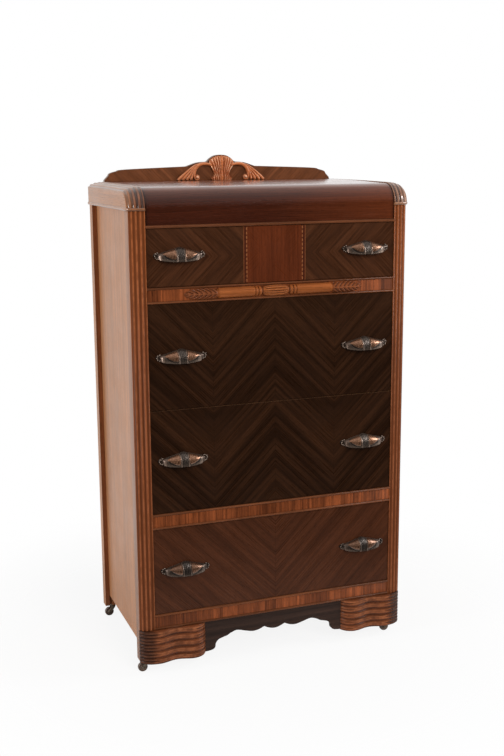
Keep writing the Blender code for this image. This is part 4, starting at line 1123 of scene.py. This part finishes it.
def pull_mesh():
    """A hooded pull: it leans out from its top edge to a lip, between two beaded ends."""
    stations, blur = 220, 0.012
    lip = sin(radians(30))
    rows = []
    for i in range(stations + 1):
        s = 2 * i / stations - 1
        near = [table(PULL_FORM, min(1.0, abs(s + d))) for d in (-blur, 0.0, blur)]
        top, low, reach = [sum(values) / 3 for values in zip(*near)]
        x, out = s * PULL_L / 2, PULL_REACH * reach
        keep = max(0.30, 1 - (PULL_T + 0.0024) / out)
        outer, inner = [], []
        for degree in range(90, -31, -4):
            up = sin(radians(degree))
            lean = sin(pi / 2 * (90 - degree) / 120)
            rise = up * (PULL_TOP * top if degree > 0 else PULL_BOTTOM * low / lip)
            lift, shade, warm = pull_relief(s, degree)
            lift *= 1 - eased(80, 90, degree)
            outer.append(((x, -(out - 0.0030 + lift) * lean, rise + lift * max(0.0, up)), shade, warm))
            # the inside of the hood is painted dark: painted shade
            inner.append(((x, -out * keep * lean, rise - PULL_T * max(0.0, up) * top), 0.15, 0.0))
        rows.append(outer + inner[::-1])
    body = carved("pull", rows, "relief", "copper")
    work = bmesh.new()
    work.from_mesh(body)
    layer = work.verts.layers.float["relief"]
    for sign in (-1, 1):
        for degree in (-84, -42, 0, 42, 84):
            a = radians(degree)
            spot = Vector((sign * (0.0568 + 0.0078 * cos(a)), -0.0042, 0.0076 * sin(a) - 0.0006))
            made = bmesh.ops.create_icosphere(work, subdivisions=2, radius=0.0021, matrix=Matrix.Translation(spot))
            for vert in made["verts"]:
                # painted highlight on each bead's front, painted shade on its back
                vert[layer] = 0.95 if vert.co.y < spot.y else 0.2
    work.to_mesh(body)
    work.free()
    return body


def drawer_pulls(k, mesh, look):
    """A drawer's two pulls, with nuts behind its front."""
    body = f"drawer_{k}"
    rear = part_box(body + "_front")[1].y + 0.0001
    nuts = bmesh.new()
    for sign, side in SIDES:
        node = f"{body}_pull_{side}"
        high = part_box(node)[1]
        x, z = middle_of(node)[0] - sign * PULL_IN, high.z - PULL_TOP + PULL_SHIFT[k - 1]
        piece(f"{body}_handle_{side}", mesh, look, "pull_metal", node, body=body, sharp=60, place=(x, high.y, z))
        for end in (-PULL_BOLT, PULL_BOLT):
            for sides, radius, start, stop in NUT_FORM:
                rod(nuts, (x + end, rear + (start + stop) / 2, z), sides, radius, stop - start, 0.96)
    piece(body + "_nuts", finished("nuts", nuts), NUT_LOOK, "pull_metal", body=body)


def dovetails(k):
    """The ends of a drawer's sides, let into the ends of its front."""
    body = f"drawer_{k}"
    front, (low, high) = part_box(body + "_front")[1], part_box(body + "_side_right")
    height, depth = high.z - low.z, 0.014
    count = max(3, round(height / TAIL_PITCH))
    pitch = height / count
    verts = [(sign * x, y, low.z + (n + 0.5) * pitch + up * half)
             for sign in (-1, 1) for n in range(count) for x in (front.x - 0.0004, front.x + 0.0003)
             for y, half in ((front.y, 0.30 * pitch), (front.y - depth, 0.40 * pitch)) for up in (-1, 1)]
    faces = [[8 * n + i for i in face] for n in range(2 * count) for face in TAIL_FACES]
    piece(body + "_dovetails", make("tails", verts, faces), BOX_LOOK["Y"], "box_wood", body=body)


def pulls_and_joints():
    """Pulls, nuts and dovetails of the four drawers; the lowest drawer's pulls are darker, a painted shade."""
    pull = pull_mesh()
    low_pull = pull.copy()
    for k in range(1, 5):
        drawer_pulls(k, *((low_pull, LOW_PULL_LOOK) if k == 4 else (pull, PULL_LOOK)))
        dovetails(k)


# Casters and nails

WHEEL_R, RIM, CROWN, COLLAR_R = 0.013, 0.0055, 0.0285, 0.0085  # rim: half a wheel's width
CHEEK_IN, CHEEK_T, EYE_R = RIM + 0.0008, 0.0016, 0.0042
# Radius and depth below the rim along a wheel's side
WHEEL_FORM = ((0.00175, 0.0), (0.0052, 0.0), (0.0058, 0.0003), (0.0066, 0.0013), (0.0090, 0.0014), (0.0104, 0.0006),
              (0.0110, 0.0), (0.0116, 0.0002), (0.0125, 0.0012), (0.0129, 0.0024), (WHEEL_R, 0.0036))
STEM_FORM = ((0.0, STEM_Z), (0.0032, STEM_Z), (STEM_R, STEM_Z - 0.0010), (STEM_R, LEG_Z - FIT), (0.0062, LEG_Z - FIT),
             (0.0065, LEG_Z - 0.0010), (0.0065, CROWN + 0.0032), (0.0080, CROWN + 0.0030), (COLLAR_R, CROWN + 0.0024),
             (COLLAR_R, CROWN + 0.0006), (0.0080, CROWN), (0.0, CROWN))


def casters():
    """Turned wheels in forks with a stem, a collar and a riveted axle."""
    wheel = [(r, RIM - h) for r, h in WHEEL_FORM] + [(r, h - RIM) for r, h in reversed(WHEEL_FORM)]
    cheek = [(-0.55 * COLLAR_R, CROWN + 0.0015), (0.80 * COLLAR_R, CROWN + 0.0015), (0.74 * COLLAR_R, CROWN)]
    cheek += smooth([(0.0040, CROWN - 0.0040), (-0.0030, WHEEL_R + 0.0035), (EYE_R - TRAIL, WHEEL_R)], 5)
    cheek += arc((-TRAIL, WHEEL_R), (EYE_R, EYE_R), 0, -200, 16)[1:]
    for place in ("front_left", "front_right", "rear_left", "rear_right"):
        node = f"caster_{place}_wheel"
        x, y, _ = middle_of(node)
        roller = lathe("wheel", wheel, 48, (x, y, WHEEL_R), "Y")
        piece(f"caster_{place}_roller", roller, WHEEL_LOOK, "wheel_wood", node, body=f"wheel_{place}", sharp=45)
        work = bmesh.new()
        work.from_mesh(lathe("stem", STEM_FORM, 32, (x + TRAIL, y, 0.0)))
        outline = [(x + TRAIL + a, b) for a, b in cheek]
        for sign in (-1, 1):
            low, high = sorted((sign * CHEEK_IN, sign * (CHEEK_IN + CHEEK_T)))
            work.from_mesh(slab("cheek", outline, "Y", y - FY + low, y - FY + high, 0.0003))
            dome(work, (x, y + sign * (CHEEK_IN + 0.0015), WHEEL_R), 0.0024, 0.55, 20, 10)
        rod(work, (x, y, WHEEL_R), 20, 0.0016, 2 * CHEEK_IN + 0.001)
        piece(f"caster_{place}_frame", finished("fork", work), CASTER_LOOK, "caster_metal", f"caster_{place}_fork",
              body=f"caster_{place}", sharp=45)


def back_nails():
    """Nail heads round the back panel."""
    low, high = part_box("back_panel")
    edge, margin, half = 0.012, 0.03, OPEN_HALF - 0.028
    spots = []
    for k in range(13):
        z = low.z + margin + (CAP_Z - low.z - 2 * margin) * k / 12
        spots += [(-half, z), (half, z)]
    for k in range(1, 8):
        x = -half + 2 * half * k / 8
        spots += [(x, low.z + edge), (x, high.z - edge)]
    work = bmesh.new()
    for x, z in spots:
        dome(work, (x, high.y, z), 0.0030, 0.35, 14, 8)
    piece("back_nails", finished("nails", work), NAIL_LOOK, "caster_metal")


front_posts()
waterfall_top()
top_caps()
gallery_board()
crest_carving()
for rail_name in ("upper_rail", "lower_rail", "bottom_rail"):
    beaded_rail(rail_name)
top_rail()
rail_turning()
apron()
feet()
pulls_and_joints()
casters()
back_nails()

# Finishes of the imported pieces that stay, by the first of these words in their names
FINISHES = {"side_panel": SIDE_LOOK, "rear_post": REAR_LOOK, "back_panel": BACK_LOOK, "drawer_1_front": FIRST_LOOK,
            "drawer_2_front": PAIR_LOOK, "drawer_3_front": PAIR_LOOK, "drawer_4_front": LOW_LOOK,
            "_side_": BOX_LOOK["Y"], "": BOX_LOOK["X"]}
for node_name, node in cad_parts.items():
    for slot in node.material_slots:
        slot.material = next(look for word, look in FINISHES.items() if word in node_name)


# Floor, light and camera

def floor_look():
    """Pale floor that fades into the white background and keeps a soft shadow."""
    look = Look("floor")
    distance = look.add("VectorMath", operation="LENGTH")
    look.give(distance.inputs[0], look.place)
    fade = look.span(distance.outputs["Value"], 0.50, 1.25)
    look.set(Base_Color=(0.85, 0.85, 0.85, 1.0), Roughness=0.9, Specular_IOR_Level=0.1)
    white = look.add("Emission")
    look.put(white, Color=WHITE)
    seen = look.times(look.add("LightPath").outputs["Is Camera Ray"], 0.88)
    surface = look.shader.outputs[0]
    for factor, other in ((seen, white), (fade, look.add("BsdfTransparent"))):
        surface = look.fill("MixShader", (factor, surface, other.outputs[0]))
    look.put(look.tree.nodes["Material Output"], Surface=surface)
    return look.material


def floor():
    """A round floor that only the pictures show."""
    work = bmesh.new()
    bmesh.ops.create_circle(work, cap_ends=True, segments=96, radius=2.2)
    made = linked(bpy.data.objects.new("floor", finished("floor", work)))
    made.data.materials.append(floor_look())


def world_light():
    """White to the camera; to gloss, white behind, bright beside, less above and dim in front; grey to the rest."""
    world = bpy.data.worlds.new("studio")
    bpy.context.scene.world = world
    world.use_nodes = True
    sky = Nodes(world.node_tree)
    rays = sky.add("LightPath").outputs
    x, y, z = sky.split(sky.add("TexCoord").outputs["Generated"])
    behind = sky.span(y, 0.0, 0.55, 0.03, 1.0)
    beside = sky.span(sky.absolute(x), 0.70, 0.95, 0.0, 0.90)
    above = sky.times(sky.math("POWER", sky.most(z, 0.0), 1.3), 0.75)
    gloss = sky.most(sky.most(behind, beside), above)
    shiny = sky.most(rays["Is Glossy Ray"], rays["Is Transmission Ray"])
    level = sky.plus(sky.times(shiny, gloss), sky.times(sky.minus(1.0, shiny), 0.40))
    seen = rays["Is Camera Ray"]
    level = sky.plus(sky.times(sky.minus(1.0, seen), level), seen)
    sky.put(sky.tree.nodes["Background"], Strength=level, Color=WHITE)


def lamp(name, place, target, size, power, shine=True):
    """A square soft light that faces a target."""
    light = bpy.data.lights.new(name, "AREA")
    light.shape = "RECTANGLE"
    light.size = light.size_y = size
    light.energy = power
    made = linked(bpy.data.objects.new(name, light))
    made.location = place
    made.rotation_euler = (Vector(target) - Vector(place)).to_track_quat("-Z", "Y").to_euler()
    made.visible_glossy = shine


def camera():
    """The photograph's view."""
    azimuth, elevation, tilt = (radians(a) for a in (-20.451, 11.425, -0.389))
    focal, picture, sensor = 1105.23, 756, 36.0  # the first two in pixels
    flat = cos(elevation)
    back = Vector((sin(azimuth) * flat, -cos(azimuth) * flat, sin(elevation)))
    right = Vector((0, 0, 1)).cross(back).normalized()
    up = back.cross(right)
    across = right * cos(tilt) + up * sin(tilt)
    upright = up * cos(tilt) - right * sin(tilt)
    data = bpy.data.cameras.new("camera")
    data.sensor_fit = "VERTICAL"
    data.sensor_height = sensor
    data.lens = focal * sensor / picture
    made = linked(bpy.data.objects.new("camera", data))
    turn = Matrix((across, upright, back)).transposed().to_4x4()
    made.matrix_world = Matrix.Translation((-1.0583, FY - 2.6608, 1.3620)) @ turn
    bpy.context.scene.camera = made


floor()
world_light()
lamp("key", (0.5, -4.4, 2.7), (0.0, -0.2, 0.65), 2.0, 138.0, shine=False)
lamp("left", (-3.4, -0.6, 1.2), (-0.1, 0.0, 0.7), 1.2, 62.0)
lamp("right", (3.0, -1.2, 2.0), (0.0, -0.1, 0.7), 1.2, 42.0)
camera()
bpy.context.scene.view_settings.view_transform = "Standard"
